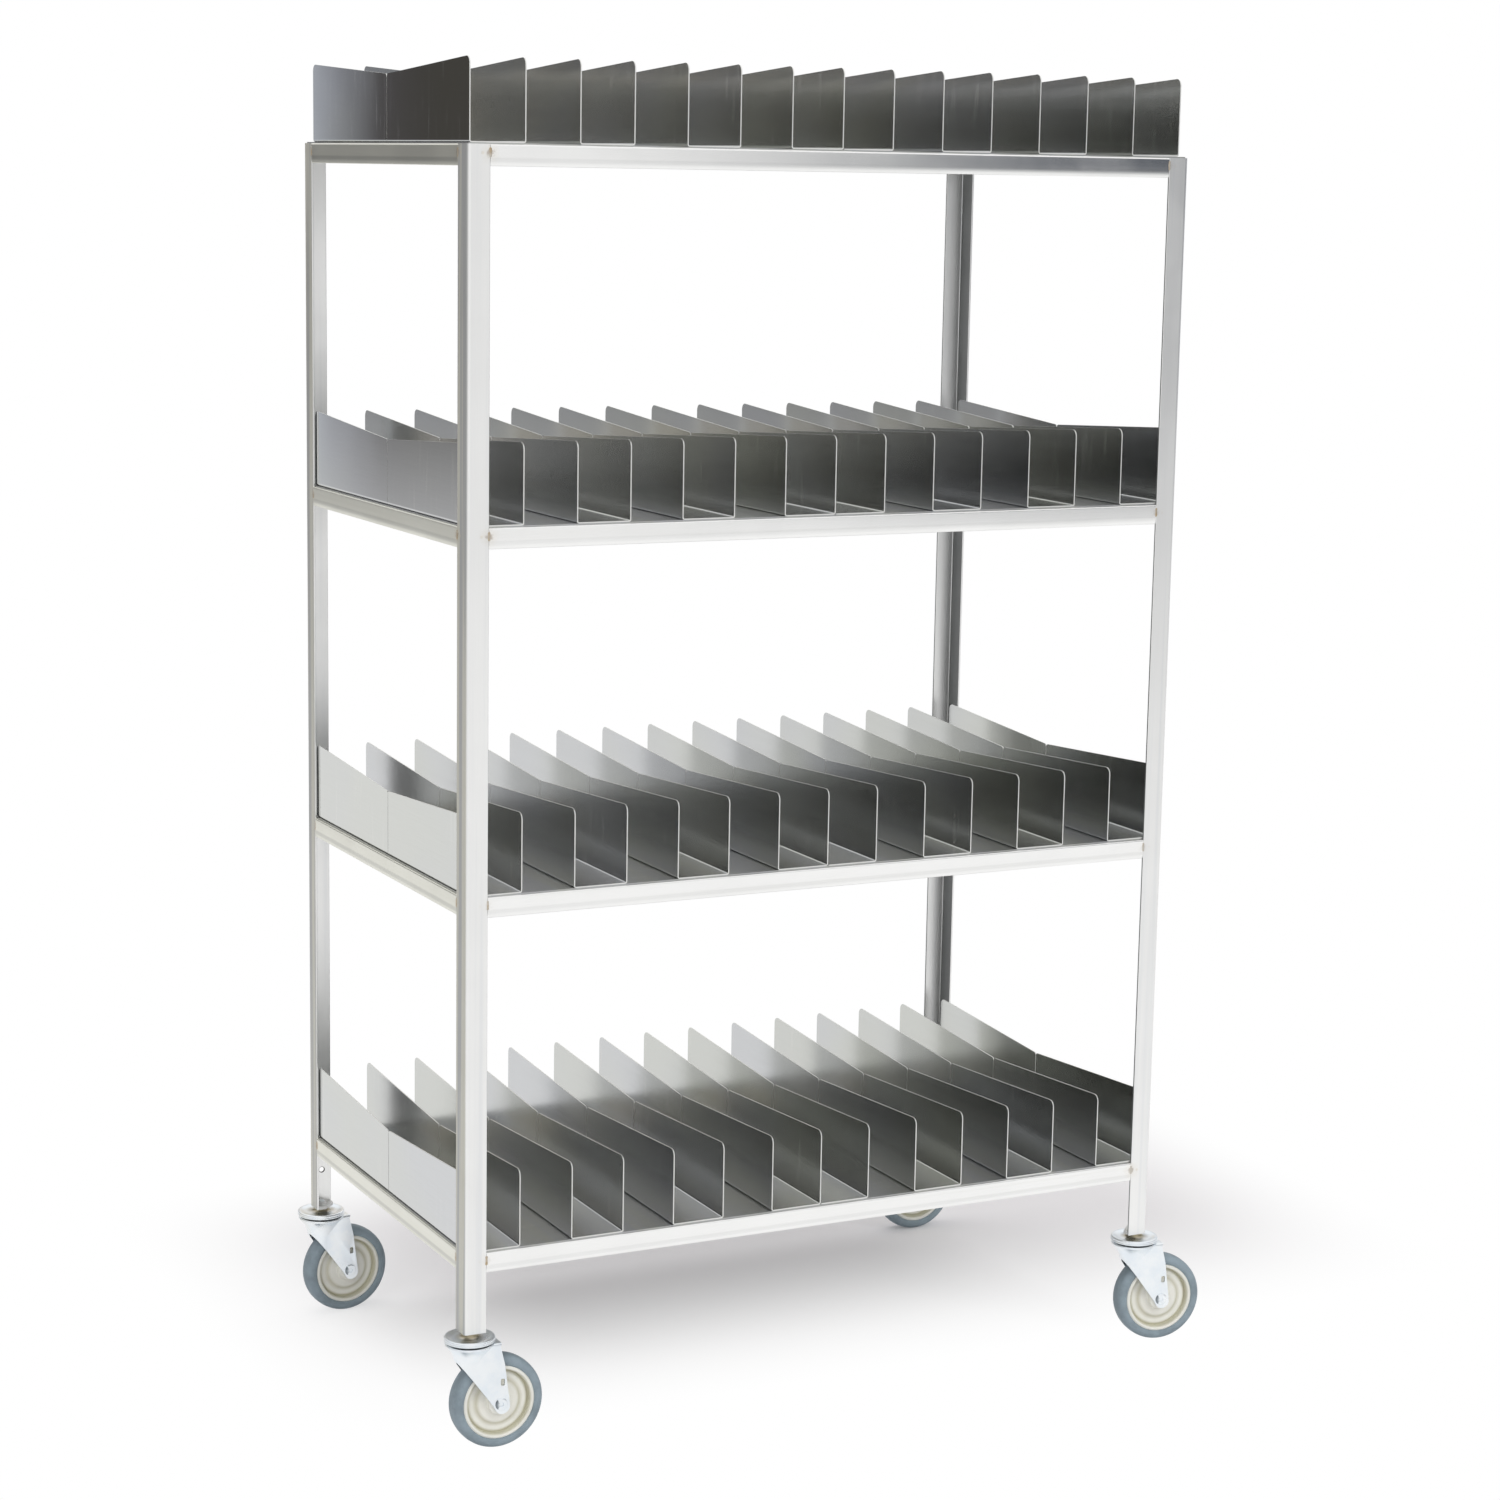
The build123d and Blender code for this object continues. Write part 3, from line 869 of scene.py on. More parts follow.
def painted_shade(mesh: Mesh, amount: Callable[[Vector], float]) -> None:
    """Write how much painted shade a mesh has at each point, for its finish to read.

    Args:
        mesh: The mesh.
        amount: Gives the painted shade, from 0 to 1, at a point.
    """
    layer = mesh.attributes.new(PAINTED_SHADE, "FLOAT", "POINT")
    for vertex in mesh.vertices:
        layer.data[vertex.index].value = amount(vertex.co)


def prism(name: str, outlines: Sequence[Sequence[Point2]], place: Matrix, low: float, high: float) -> Mesh:
    """Make a straight prism over a flat outline with holes.

    Args:
        name: The mesh's name.
        outlines: The outer outline, then any holes, in the plane's X and Y.
        place: The plane's placement.
        low: Lower end along the plane's Z.
        high: Upper end along the plane's Z.

    Returns:
        The closed mesh.
    """
    shape = bmesh.new()
    edges = []
    for outline in outlines:
        ring = [shape.verts.new((x, y, low)) for x, y in outline]
        edges += [shape.edges.new((a, b)) for a, b in zip(ring, ring[1:] + ring[:1])]
    filled = bmesh.ops.triangle_fill(shape, edges=edges, use_beauty=True)
    flat = [item for item in filled["geom"] if isinstance(item, bmesh.types.BMFace)]
    grown = bmesh.ops.extrude_face_region(shape, geom=flat, use_keep_orig=True)
    moved = [item for item in grown["geom"] if isinstance(item, bmesh.types.BMVert)]
    bmesh.ops.translate(shape, verts=moved, vec=(0.0, 0.0, high - low))
    bmesh.ops.transform(shape, matrix=place, verts=shape.verts)
    return mesh_from(name, shape)


def bar(name: str, outline: Sequence[Point2], place: Matrix, length: float) -> Mesh:
    """Make a straight bar with a rounded section.

    Args:
        name: The mesh's name.
        outline: The section's points.
        place: Placement of the section: its Z runs along the bar.
        length: The bar's length.

    Returns:
        The closed mesh.
    """
    shape = bmesh.new()
    near = [shape.verts.new(place @ Vector((x, y, 0.0))) for x, y in outline]
    far = [shape.verts.new(place @ Vector((x, y, length))) for x, y in outline]
    for i in range(len(outline)):
        j = (i + 1) % len(outline)
        shape.faces.new((near[i], near[j], far[j], far[i]))
    shape.faces.new(near[::-1])
    shape.faces.new(far)
    return mesh_from(name, shape)


def carve(mesh: Mesh, operation: str, *tools: Mesh, soft: float = 0.0) -> Mesh:
    """Cut a closed mesh with other closed meshes.

    Args:
        mesh: The mesh to cut.
        operation: Name of the boolean operation, used for every tool.
        tools: The cutting meshes.
        soft: Width of a bevel on the cut edges, or 0 for none.

    Returns:
        The cut mesh.
    """
    piece = new_piece("carved", mesh)
    cutters = [new_piece("cutter", tool) for tool in tools]
    for cutter in cutters:
        cut = piece.modifiers.new("cut", "BOOLEAN")
        cut.operation = operation
        cut.solver = "EXACT"
        cut.object = cutter
    if soft > 0.0:
        edge = piece.modifiers.new("soft_edges", "BEVEL")
        edge.width = soft
        edge.segments = 2
        edge.limit_method = "ANGLE"
        edge.angle_limit = math.radians(40.0)
    result = plain_mesh(piece)
    for extra in (piece, *cutters):
        bpy.data.objects.remove(extra)
    shape = bmesh.new()
    shape.from_mesh(result)
    return mesh_from("carved", shape, 30.0)


def plane_matrix(origin: Vector, x_axis: Vector, z_axis: Vector) -> Matrix:
    """Placement from an origin and two axes.

    Args:
        origin: Where the plane stands.
        x_axis: Direction of its X.
        z_axis: Direction of its Z.

    Returns:
        The placement matrix.
    """
    y_axis = z_axis.cross(x_axis)
    turn = Matrix((x_axis, y_axis, z_axis)).transposed()
    return Matrix.Translation(origin) @ turn.to_4x4()


# Welded frame

@dataclass
class AngleFrame:
    """Posts and rails of formed angle, with rolled corners and softened edges."""

    finishes: Finishes
    wall: float = 3.0 * MM
    post_corner: float = 5.0 * MM
    post_dish: float = 0.2 * MM
    rail_corner: float = 2.2 * MM
    rail_bow: float = 1.1 * MM
    rail_bow_start: float = 0.62
    root_radius: float = 1.8 * MM
    tip_radius: float = 0.8 * MM
    hold: float = 0.25 * MM
    hole_chamfer: float = 0.9 * MM
    stem_hole: float = 5.1 * MM
    plate_land: float = 19.0 * MM

    def post_section(self, leg: float) -> list[Point2]:
        """Section of a post: both outer faces dish a little between the rolled corner and the tips.

        Args:
            leg: Length of both legs.

        Returns:
            The outline's points, with the outer corner at the origin.
        """
        wall, tip = self.wall, self.tip_radius
        return rounded([
            (0.0, 0.0, self.post_corner),
            (leg / 2, self.post_dish, 0.0),
            (leg, 0.0, tip),
            (leg, wall, tip),
            (wall, wall, self.root_radius),
            (wall, leg, tip),
            (0.0, leg, tip),
            (self.post_dish, leg / 2, 0.0),
        ], 6, self.hold)

    def rail_section(self, flat: float, drop: float) -> list[Point2]:
        """Section of a rail: its upright leg bows inwards towards its lower edge.

        Args:
            flat: Length of the level leg.
            drop: Height of the upright leg.

        Returns:
            The outline's points, with the outer corner at the origin and Y downwards.
        """
        wall, tip, start = self.wall, self.tip_radius, self.rail_bow_start
        shares = (0.75, 0.5, 0.25, 0.0)
        bow = [(self.rail_bow * s * s, drop * (start + (1.0 - start) * s), 0.0) for s in shares]
        return rounded([
            (0.0, 0.0, self.rail_corner),
            (flat, 0.0, tip),
            (flat, wall, tip),
            (wall, wall, self.root_radius),
            (wall, drop, tip),
            (self.rail_bow, drop, tip),
            *bow,
        ], 6, self.hold)

    def build(self) -> None:
        """Build every post and rail."""
        for corner in Corner:
            self.build_post(corner)
        for shelf in SHELVES:
            for side in Side:
                self.build_rail(shelf, side)
        self.build_foot_plates()
        dress_node("stem_nuts", self.finishes.feet)

    def stand(self, corner: Corner) -> tuple[Vector, Matrix, float]:
        """Where a post stands.

        Args:
            corner: The post's corner.

        Returns:
            Its outer corner at its foot, the matrix of its section there, and the length of its legs.
        """
        low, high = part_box(f"post_{corner.value}")
        origin = Vector((
            low.x if "left" in corner.value else high.x,
            low.y if "front" in corner.value else high.y,
            low.z,
        ))
        first_leg = {
            Corner.FRONT_LEFT: RIGHT,
            Corner.FRONT_RIGHT: BACK,
            Corner.REAR_RIGHT: -RIGHT,
            Corner.REAR_LEFT: -BACK,
        }[corner]
        return origin, plane_matrix(origin, first_leg, UP), high.x - low.x

    def build_post(self, corner: Corner) -> None:
        """Build one corner post, and drill the rear ones."""
        node = f"post_{corner.value}"
        low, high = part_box(node)
        origin, place, leg = self.stand(corner)
        mesh = bar(node, self.post_section(leg), place, high.z - low.z)
        if origin.y > 0.0:
            mesh = self.drilled(mesh, f"{corner.value}_post_hole")
        piece = new_piece(f"{node}_bar", mesh, self.finishes.posts, self.finishes.bores)
        settle(piece, "frame", "frame_angle", node)

    def drilled(self, mesh: Mesh, mount: str) -> Mesh:
        """Cut a post's bolt hole, with a small chamfer at both ends; the bore and chamfers take a near-black
        painted shade.

        Args:
            mesh: The plain post.
            mount: Name of the record's bore mount.

        Returns:
            The drilled mesh, with the painted shade material in the bore.
        """
        bore = next(item for item in frame["record"]["mounts"] if item["name"] == mount)
        radius, half, soft = bore["dims"]["r_mm"] * MM, self.wall / 2, self.hole_chamfer
        middle = Vector(bore["pos_m"])
        wide = radius + soft + self.wall
        end = [(0.0, half + self.wall), (wide, half + self.wall), (radius, half - soft)]
        rod = lathe("drill", end + [(r, -z) for r, z in reversed(end)], plane_matrix(middle, RIGHT, BACK), 32)
        mesh = carve(mesh, "DIFFERENCE", rod)
        # Faces of the bore and its chamfers take the painted shade material.
        for face in mesh.polygons:
            gap = face.center - middle
            if gap.length < radius + 2 * soft and abs(face.normal.y) < 0.9:
                face.material_index = 1
        return mesh

    def build_foot_plates(self) -> None:
        """Build the plates inside the post feet, each with its free corner cut off."""
        low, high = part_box("foot_plates")
        shape = bmesh.new()
        for corner in Corner:
            origin, place, leg = self.stand(corner)
            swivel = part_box(f"caster_stem_{corner.value}")
            inset = abs((swivel[0].x + swivel[1].x) / 2 - origin.x)
            wall, reach = self.wall, leg - self.tip_radius
            cut = 2 * inset + self.plate_land - reach
            outline = rounded([
                (wall, wall, self.root_radius),
                (reach, wall, self.tip_radius),
                (reach, cut, self.root_radius),
                (cut, reach, self.root_radius),
                (wall, reach, self.tip_radius),
            ])
            hole = arc((inset, inset), self.stem_hole, 0.0, 345.0, 23)
            shape.from_mesh(prism("foot_plate", [outline, hole], place, 0.0, high.z - low.z))
        piece = new_piece("foot_plates_cut", mesh_from("foot_plates_cut", shape), self.finishes.feet)
        settle(piece, "frame", "frame_angle", "foot_plates")

    def build_rail(self, shelf: int, side: Side) -> None:
        """Build one rail between two posts."""
        node = f"shelf_{shelf}_{side.value}_rail"
        low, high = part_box(node)
        along_x = side in (Side.FRONT, Side.REAR)
        inward = {Side.FRONT: BACK, Side.REAR: -BACK, Side.LEFT: RIGHT, Side.RIGHT: -RIGHT}[side]
        run = inward.cross(-UP)
        size = high - low
        flat_leg = size.y if along_x else size.x
        length = size.x if along_x else size.y
        origin = Vector((
            low.x if run.x > 0 or inward.x > 0 else high.x,
            low.y if run.y > 0 or inward.y > 0 else high.y,
            high.z,
        ))
        outline = self.rail_section(flat_leg, size.z)
        mesh = bar(node, outline, plane_matrix(origin, inward, run), length)
        finish = self.finishes.long_rails if along_x else self.finishes.short_rails
        settle(new_piece(f"{node}_bar", mesh, finish), "frame", "frame_angle", node)


def dress_node(node: str, material: Material) -> None:
    """Give a CAD node its finish.

    Args:
        node: The node's name.
        material: The finish.
    """
    piece = frame["nodes"][node]
    piece.data.materials.clear()
    piece.data.materials.append(material)
    LOG.info("%s keeps its solid and takes %s", node, material.name)


# Shelves

class GeometryTree(Tree):
    """A geometry node tree with named inputs, ended by Realize Instances and Set Material."""

    def __init__(self, name: str) -> None:
        """Make an empty tree with a geometry output."""
        super().__init__(bpy.data.node_groups.new(name, "GeometryNodeTree"))
        self.keys: dict[str, str] = {}
        self.tree.interface.new_socket("Geometry", in_out="OUTPUT", socket_type="NodeSocketGeometry")
        self.source = self.add("NodeGroupInput")
        self.target = self.add("NodeGroupOutput")

    def input(self, name: str, kind: str) -> None:
        """Add a named input and keep its identifier."""
        self.keys[name] = self.tree.interface.new_socket(name, in_out="INPUT", socket_type=kind).identifier

    def value(self, name: str) -> Socket:
        """Socket that carries a named input inside the tree."""
        return self.source.outputs[name]

    def end(self, geometry: Socket, materials: Sequence[tuple[Material, str | None]]) -> None:
        """Realize the instances, set the materials and close the tree.

        Args:
            geometry: The last geometry socket.
            materials: Each material, with the face attribute that it is limited to, or None.
        """
        last = self.add("GeometryNodeRealizeInstances", {"Geometry": geometry}).outputs["Geometry"]
        for material, attribute in materials:
            feeds = {"Geometry": last, "Material": material}
            if attribute is not None:
                named = self.add("GeometryNodeInputNamedAttribute", {"Name": attribute}, data_type="BOOLEAN")
                feeds["Selection"] = named.outputs["Attribute"]
            last = self.add("GeometryNodeSetMaterial", feeds).outputs["Geometry"]
        self.feed(self.target.inputs["Geometry"], last)

    def run(self, name: str, values: dict[str, object]) -> Mesh:
        """Run the tree on an empty carrier.

        Args:
            name: Name for the result.
            values: A value for each named input.

        Returns:
            A plain mesh.
        """
        carrier = bpy.data.objects.new(name, bpy.data.meshes.new(name))
        bpy.context.scene.collection.objects.link(carrier)
        modifier = carrier.modifiers.new("make", "NODES")
        modifier.node_group = self.tree
        for label, value in values.items():
            modifier[self.keys[label]] = value
        mesh = plain_mesh(carrier)
        carrier.modifiers.remove(modifier)
        bpy.data.objects.remove(carrier)
        return mesh


@dataclass
class ShelfRows:
    """Folded channels in a front and a rear row on every shelf, with slightly uneven sheet walls."""

    finishes: Finishes
    wall_count: int = 15
    sheet: float = 1.5 * MM
    bend: float = 1.5 * MM
    end_height: float = 104.0 * MM
    middle_height: float = 88.0 * MM
    outer_round: float = 9.0 * MM
    middle_round: float = 4.0 * MM
    flange_gap: float = 1.0 * MM
    first_run: int = 4
    single_wall: int = 8
    second_start: int = 9
    second_run: int = 3
    wave: float = 0.5 * MM
    wave_run: tuple[float, float, float] = (3.7, 5.0, 6.0)
    row_seed: int = 40
    shelf_seed: int = 7
    columns: int = 14
    rows: int = 7
    foot_share: float = 0.015

    def pitch(self) -> float:
        """Distance between neighbouring walls, from the width of a row."""
        low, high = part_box("shelf_1_front_channels")
        return (high.x - low.x - self.sheet) / (self.wall_count - 1)

    def stations(self, length: float) -> list[tuple[float, float]]:
        """Distance along a wall and height there, from the outer end to the middle.

        Args:
            length: The wall's length.

        Returns:
            Distance and height of each station.
        """
        slope = (self.middle_height - self.end_height) / length
        tilt = math.degrees(math.atan(slope))
        outer, inner = self.outer_round, self.middle_round
        rise = math.tan(math.radians(45.0 + tilt / 2))
        marks = arc((outer, self.end_height - outer * rise), outer, 180.0, 90.0 + tilt, 7)
        inside = self.middle_height - inner * math.tan(math.radians(45.0 - tilt / 2))
        ends = arc((length - inner, inside), inner, 90.0 + tilt, 0.0, 4)
        start, stop = Vector(marks[-1]), Vector(ends[0])
        between = [tuple(start.lerp(stop, i / self.columns)) for i in range(1, self.columns)]
        return marks + between + ends

    def folded(self, name: str, section: Callable[[float], list[Point2]], length: float) -> Piece:
        """Make one folded channel as a pattern.

        Args:
            name: Name of the pattern.
            section: Gives the fold's middle line, as X and Z, at a height.
            length: The channel's length.

        Returns:
            The pattern object.
        """
        shape = bmesh.new()
        edge = shape.faces.layers.bool.new("cut_edge")
        rings = []
        for along, height in self.stations(length):
            outer, inner = self.sides(section(height))
            rings.append((
                [shape.verts.new((x, along, z)) for x, z in outer],
                [shape.verts.new((x, along, z)) for x, z in inner],
            ))
        for near, far in zip(rings, rings[1:]):
            for skin in (0, 1):
                for i in range(len(near[skin]) - 1):
                    shape.faces.new((near[skin][i], near[skin][i + 1], far[skin][i + 1], far[skin][i]))
            for i in (0, -1):
                face = shape.faces.new((near[0][i], far[0][i], far[1][i], near[1][i]))
                face[edge] = True
        for outer, inner in (rings[0], rings[-1]):
            for i in range(len(outer) - 1):
                face = shape.faces.new((outer[i], outer[i + 1], inner[i + 1], inner[i]))
                face[edge] = True
        return new_piece(name, mesh_from(name, shape, 40.0))

    def sides(self, middle: Sequence[Point2]) -> tuple[list[Point2], list[Point2]]:
        """Both skins of a folded sheet.

        Args:
            middle: The sheet's middle line.

        Returns:
            The outer and the inner skin.
        """
        outer, inner = [], []
        for i, point in enumerate(middle):
            before = Vector(middle[max(i - 1, 0)])
            after = Vector(middle[min(i + 1, len(middle) - 1)])
            along = (after - before).normalized()
            normal = Vector((-along.y, along.x)) * (self.sheet / 2)
            outer.append((point[0] - normal.x, point[1] - normal.y))
            inner.append((point[0] + normal.x, point[1] + normal.y))
        return outer, inner

    def upright(self, x: float, base: float, top: float) -> list[Point2]:
        """Points up a wall that stands at x, from its fold to its top."""
        shares = [0.0, self.foot_share] + [i / self.rows for i in range(1, self.rows + 1)]
        return [(x, base + (top - base) * share) for share in shares]

    def double_section(self, height: float) -> list[Point2]:
        """Middle line of a channel with two walls, at one height."""
        pitch, half = self.pitch(), self.sheet / 2
        turn = self.bend + half
        left = self.upright(0.0, half + turn, height)[::-1]
        first = arc((turn, half + turn), turn, 180.0, 270.0, 4)
        second = arc((pitch - turn, half + turn), turn, 270.0, 360.0, 4)
        right = self.upright(pitch, half + turn, height)
        return left[:-1] + first + second + right[1:]

    def single_section(self, height: float) -> list[Point2]:
        """Middle line of a channel with one wall, at one height."""
        half = self.sheet / 2
        turn = self.bend + half
        start = -self.pitch() + self.sheet / 2 + self.flange_gap
        fold = arc((-turn, half + turn), turn, 270.0, 360.0, 4)
        return [(start, half)] + fold + self.upright(0.0, half + turn, height)[1:]

    def tree(self) -> GeometryTree:
        """Geometry nodes that set channels along a row and give their walls a slight wave."""
        tree = GeometryTree("row_of_channels")
        for label in ("Double Channel", "Single Channel"):
            tree.input(label, "NodeSocketObject")
        for label in ("Pitch", "First Wall", "Base", "Start", "Wave", "Wall Height", "Turn"):
            tree.input(label, "NodeSocketFloat")
        for label in ("First Run", "Second Start", "Second Run", "Single Wall", "Seed"):
            tree.input(label, "NodeSocketInt")
        groups = tree.add("GeometryNodeJoinGeometry")
        pitch = tree.value("Pitch")
        runs = (
            ("Double Channel", 0, tree.value("First Run"), 2.0),
            ("Double Channel", tree.value("Second Start"), tree.value("Second Run"), 2.0),
            ("Single Channel", tree.value("Single Wall"), 1, 1.0),
        )
        for pattern, wall, count, stride in runs:
            first = tree.math("MULTIPLY_ADD", wall, pitch, tree.value("First Wall"))
            line = tree.add("GeometryNodeMeshLine", {
                "Count": count,
                "Start Location": tree.join(first, tree.value("Start"), tree.value("Base")),
                "Offset": tree.join(tree.times(pitch, stride)),
            }, mode="OFFSET")
            feeds = {"Object": tree.value(pattern)}
            channel = tree.add("GeometryNodeObjectInfo", feeds, transform_space="ORIGINAL")
            placed = tree.add("GeometryNodeInstanceOnPoints", {
                "Points": line.outputs["Mesh"],
                "Instance": channel.outputs["Geometry"],
                "Scale": tree.join(1.0, tree.value("Turn"), 1.0),
            })
            real = tree.add("GeometryNodeRealizeInstances", {"Geometry": placed.outputs["Instances"]})
            tree.feed(groups.inputs["Geometry"], real.outputs["Geometry"])
        waved = self.add_wave(tree, groups.outputs["Geometry"])
        tree.end(waved, [(self.finishes.walls, None), (self.finishes.edges, "cut_edge")])
        return tree

    def add_wave(self, tree: GeometryTree, geometry: Socket) -> Socket:
        """Lean and bow every wall a little, more towards its top.

        Args:
            tree: The tree to add to.
            geometry: The row's geometry.

        Returns:
            The waved geometry.
        """
        across, along, upward = self.wave_run
        parts = tree.split(tree.add("GeometryNodeInputPosition").outputs[0])
        rise = tree.math("SUBTRACT", parts["Z"], tree.value("Base"))
        share = tree.math("DIVIDE", rise, tree.value("Wall Height"), clamp=True)
        wall = tree.math("ROUND", tree.math("DIVIDE", parts["X"], tree.value("Pitch")))
        height = tree.math("MULTIPLY_ADD", parts["Z"], upward, tree.value("Seed"))
        spot = tree.join(tree.times(wall, across), tree.times(parts["Y"], along), height)
        sway = tree.math("SUBTRACT", tree.noise(spot, 1.0, 1.0), 0.5)
        push = tree.times(tree.times(sway, share), tree.value("Wave"))
        feeds = {"Geometry": geometry, "Offset": tree.join(push)}
        return tree.add("GeometryNodeSetPosition", feeds).outputs["Geometry"]

    def build(self) -> None:
        """Build both rows on every shelf and dress the shelf sheets."""
        low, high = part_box("shelf_1_front_channels")
        length = high.y - low.y
        doubles = self.folded("double_channel_pattern", self.double_section, length)
        singles = self.folded("single_channel_pattern", self.single_section, length)
        tree = self.tree()
        for shelf in SHELVES:
            dress_node(f"shelf_{shelf}_sheet", self.finishes.floors)
            for row, seed in (("front", 0), ("rear", self.row_seed)):
                node = f"shelf_{shelf}_{row}_channels"
                low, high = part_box(node)
                mesh = tree.run(node, {
                    "Double Channel": doubles,
                    "Single Channel": singles,
                    "Pitch": self.pitch(),
                    "First Wall": low.x + self.sheet / 2,
                    "Base": low.z,
                    "Start": low.y if row == "front" else high.y,
                    "Turn": 1.0 if row == "front" else -1.0,
                    "Wave": self.wave,
                    "Wall Height": self.end_height,
                    "First Run": self.first_run,
                    "Second Start": self.second_start,
                    "Second Run": self.second_run,
                    "Single Wall": self.single_wall,
                    "Seed": seed + shelf * self.shelf_seed,
                })
                self.straighten(mesh)
                piece = new_piece(f"{node}_folded", mesh)
                settle(piece, "frame", "shelf_sheet", node)
        for pattern in (doubles, singles):
            bpy.data.objects.remove(pattern)

    def straighten(self, mesh: Mesh) -> None:
        """Turn all faces outwards, also in a mirrored row."""
        shape = bmesh.new()
        shape.from_mesh(mesh)
        bmesh.ops.recalc_face_normals(shape, faces=shape.faces)
        shape.to_mesh(mesh)
        shape.free()


# Casters

@dataclass
class Caster:
    """One swivel caster: stem with its races, fork, axle, wheel core and tyre."""

    corner: Corner
    finishes: Finishes
    stem_radius: float = 5.0 * MM
    collar_radius: float = 11.0 * MM
    race_radius: float = 34.0 * MM
    crown_radius: float = 33.0 * MM
    crown: float = 3.5 * MM
    flare_drop: float = 24.0 * MM
    flare_skirt: float = 32.0 * MM
    fork_wall: float = 3.0 * MM
    fork_tail: float = 38.0 * MM
    fork_eye: float = 13.0 * MM
    trail: float = 37.0 * MM
    hub_width: float = 34.0 * MM
    core_width: float = 28.0 * MM
    tyre_width: float = 30.0 * MM
    tyre_round: float = 8.5 * MM
    tyre_crown: float = 0.4 * MM
    tyre_gap: float = 0.05 * MM
    leg_gap: float = 0.5 * MM
    axle_radius: float = 4.75 * MM
    axle_chamfer: float = 0.75 * MM
    axle_end: float = 7.0 * MM
    head_radius: float = 8.5 * MM
    head_round: float = 1.9 * MM
    rivet_radius: float = 9.0 * MM
    rivet_height: float = 3.0 * MM
    edge: float = 0.8 * MM
    slot_half: Point2 = (2.75 * MM, 4.75 * MM)
    slot_round: float = 1.8 * MM
    slot_rise: float = 30.0 * MM
    slot_back: float = 2.0 * MM
    crown_bend: float = 4.0 * MM
    past: float = 100.0 * MM
    spare: float = 10.0 * MM
    leg_edge: float = 0.5 * MM
    race_dish: tuple[Point2, ...] = ((0.62, 1.9), (0.74, 1.7), (0.80, 1.0), (0.86, 0.1))
    core_bore: float = 4.8 * MM
    core_face: tuple[Point2, ...] = (
        (15.0, 0.0), (16.0, 1.0), (16.6, 6.0), (18.0, 7.5), (26.0, 7.8), (28.5, 8.4), (30.5, 10.0),
        (33.0, 11.0), (36.0, 10.9), (39.0, 10.8), (41.0, 11.1), (43.2, 12.0), (44.0, 11.4),
    )
    # Radius and half reach of the painted shade rings in the core's step and beside its rim.
    step_shade_ring: Point2 = (31.0 * MM, 4.0 * MM)
    rim_shade_ring: Point2 = (43.0 * MM, 3.5 * MM)

    def __post_init__(self) -> None:
        """Take the swivel line and the axle from the record's joints."""
        self.name = self.corner.value
        joints = {item["name"]: item for item in frame["joints"]}
        swivel = Vector(joints[f"{self.name}_swivel"]["pos_m"])
        axle = joints[f"{self.name}_wheel_spin"]
        self.hub = Vector(axle["pos_m"])
        self.axle_line = Vector(axle["axis"]).normalized()
        self.forward = self.axle_line.cross(UP).normalized()
        self.swivel = Vector((swivel.x, swivel.y, 0.0))
        self.race_top = swivel.z
        self.axle_place = plane_matrix(self.hub, self.forward, -self.axle_line)

    def build(self) -> None:
        """Build every piece of the caster."""
        self.build_stem()
        self.build_fork()
        self.build_axle()
        self.build_core()
        self.build_tyre()

    def build_stem(self) -> None:
        """Build the threaded stem, its collar, the dished upper race and the swivel pin."""
        low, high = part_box(f"caster_stem_{self.name}")
        post_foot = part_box(f"post_{self.name}")[0].z
        race, top, stem, collar = self.race_radius, self.race_top, self.stem_radius, self.collar_radius
        rim_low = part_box(f"caster_fork_{self.name}")[1].z + 2.0 * MM
        profile = [
            (0.0, high.z),
            (stem - self.edge, high.z),
            (stem, high.z - self.edge),
            (stem, post_foot),
            (collar, post_foot),
            (collar, top + 2.4 * MM),
            (collar + 1.2 * MM, top + 0.4 * MM),
            (collar + 4.0 * MM, top - 1.2 * MM),
        ]
        profile += [(race * share, top - depth * MM) for share, depth in self.race_dish]
        profile += arc((race - 2.4 * MM, top - 2.4 * MM), 2.4 * MM, 90.0, -20.0, 6)
        profile += arc((race - 1.2 * MM, top - 5.2 * MM), 1.2 * MM, 70.0, -90.0, 6)
        profile += [
            (race - 4.0 * MM, rim_low),
            (race - 4.0 * MM, rim_low + 4.0 * MM),
            (stem, rim_low + 4.0 * MM),
            (stem, low.z + self.rivet_height),
            (self.rivet_radius, low.z + self.rivet_height),
            (self.rivet_radius, low.z + self.edge),
            (self.rivet_radius - self.edge, low.z),
            (0.0, low.z),
        ]
        mesh = lathe(f"caster_stem_{self.name}", profile, Matrix.Translation(self.swivel), 80)
        # Painted shade round the neck, where the post's foot darkens the dish.
        painted_shade(mesh, lambda spot: self.neck_painted_shade(spot) if rim_low < spot.z <= post_foot else 0.0)
        piece = new_piece(f"swivel_head_{self.name}", mesh, self.finishes.zinc)
        settle(piece, "frame", "caster_plate", f"caster_stem_{self.name}")

    def neck_painted_shade(self, spot: Vector) -> float:
        """Painted shade and reflection, dark golden-brown, round the neck above the upper race, under the post's
        foot.

        Args:
            spot: A point between the race and the post's foot.

        Returns:
            The painted shade, from 0 to 1.
        """
        near, far = self.collar_radius + 1.0 * MM, self.race_radius * 0.56
        share = (far - (spot - self.swivel).xy.length) / (far - near)
        return min(max(share, 0.0), 1.0)

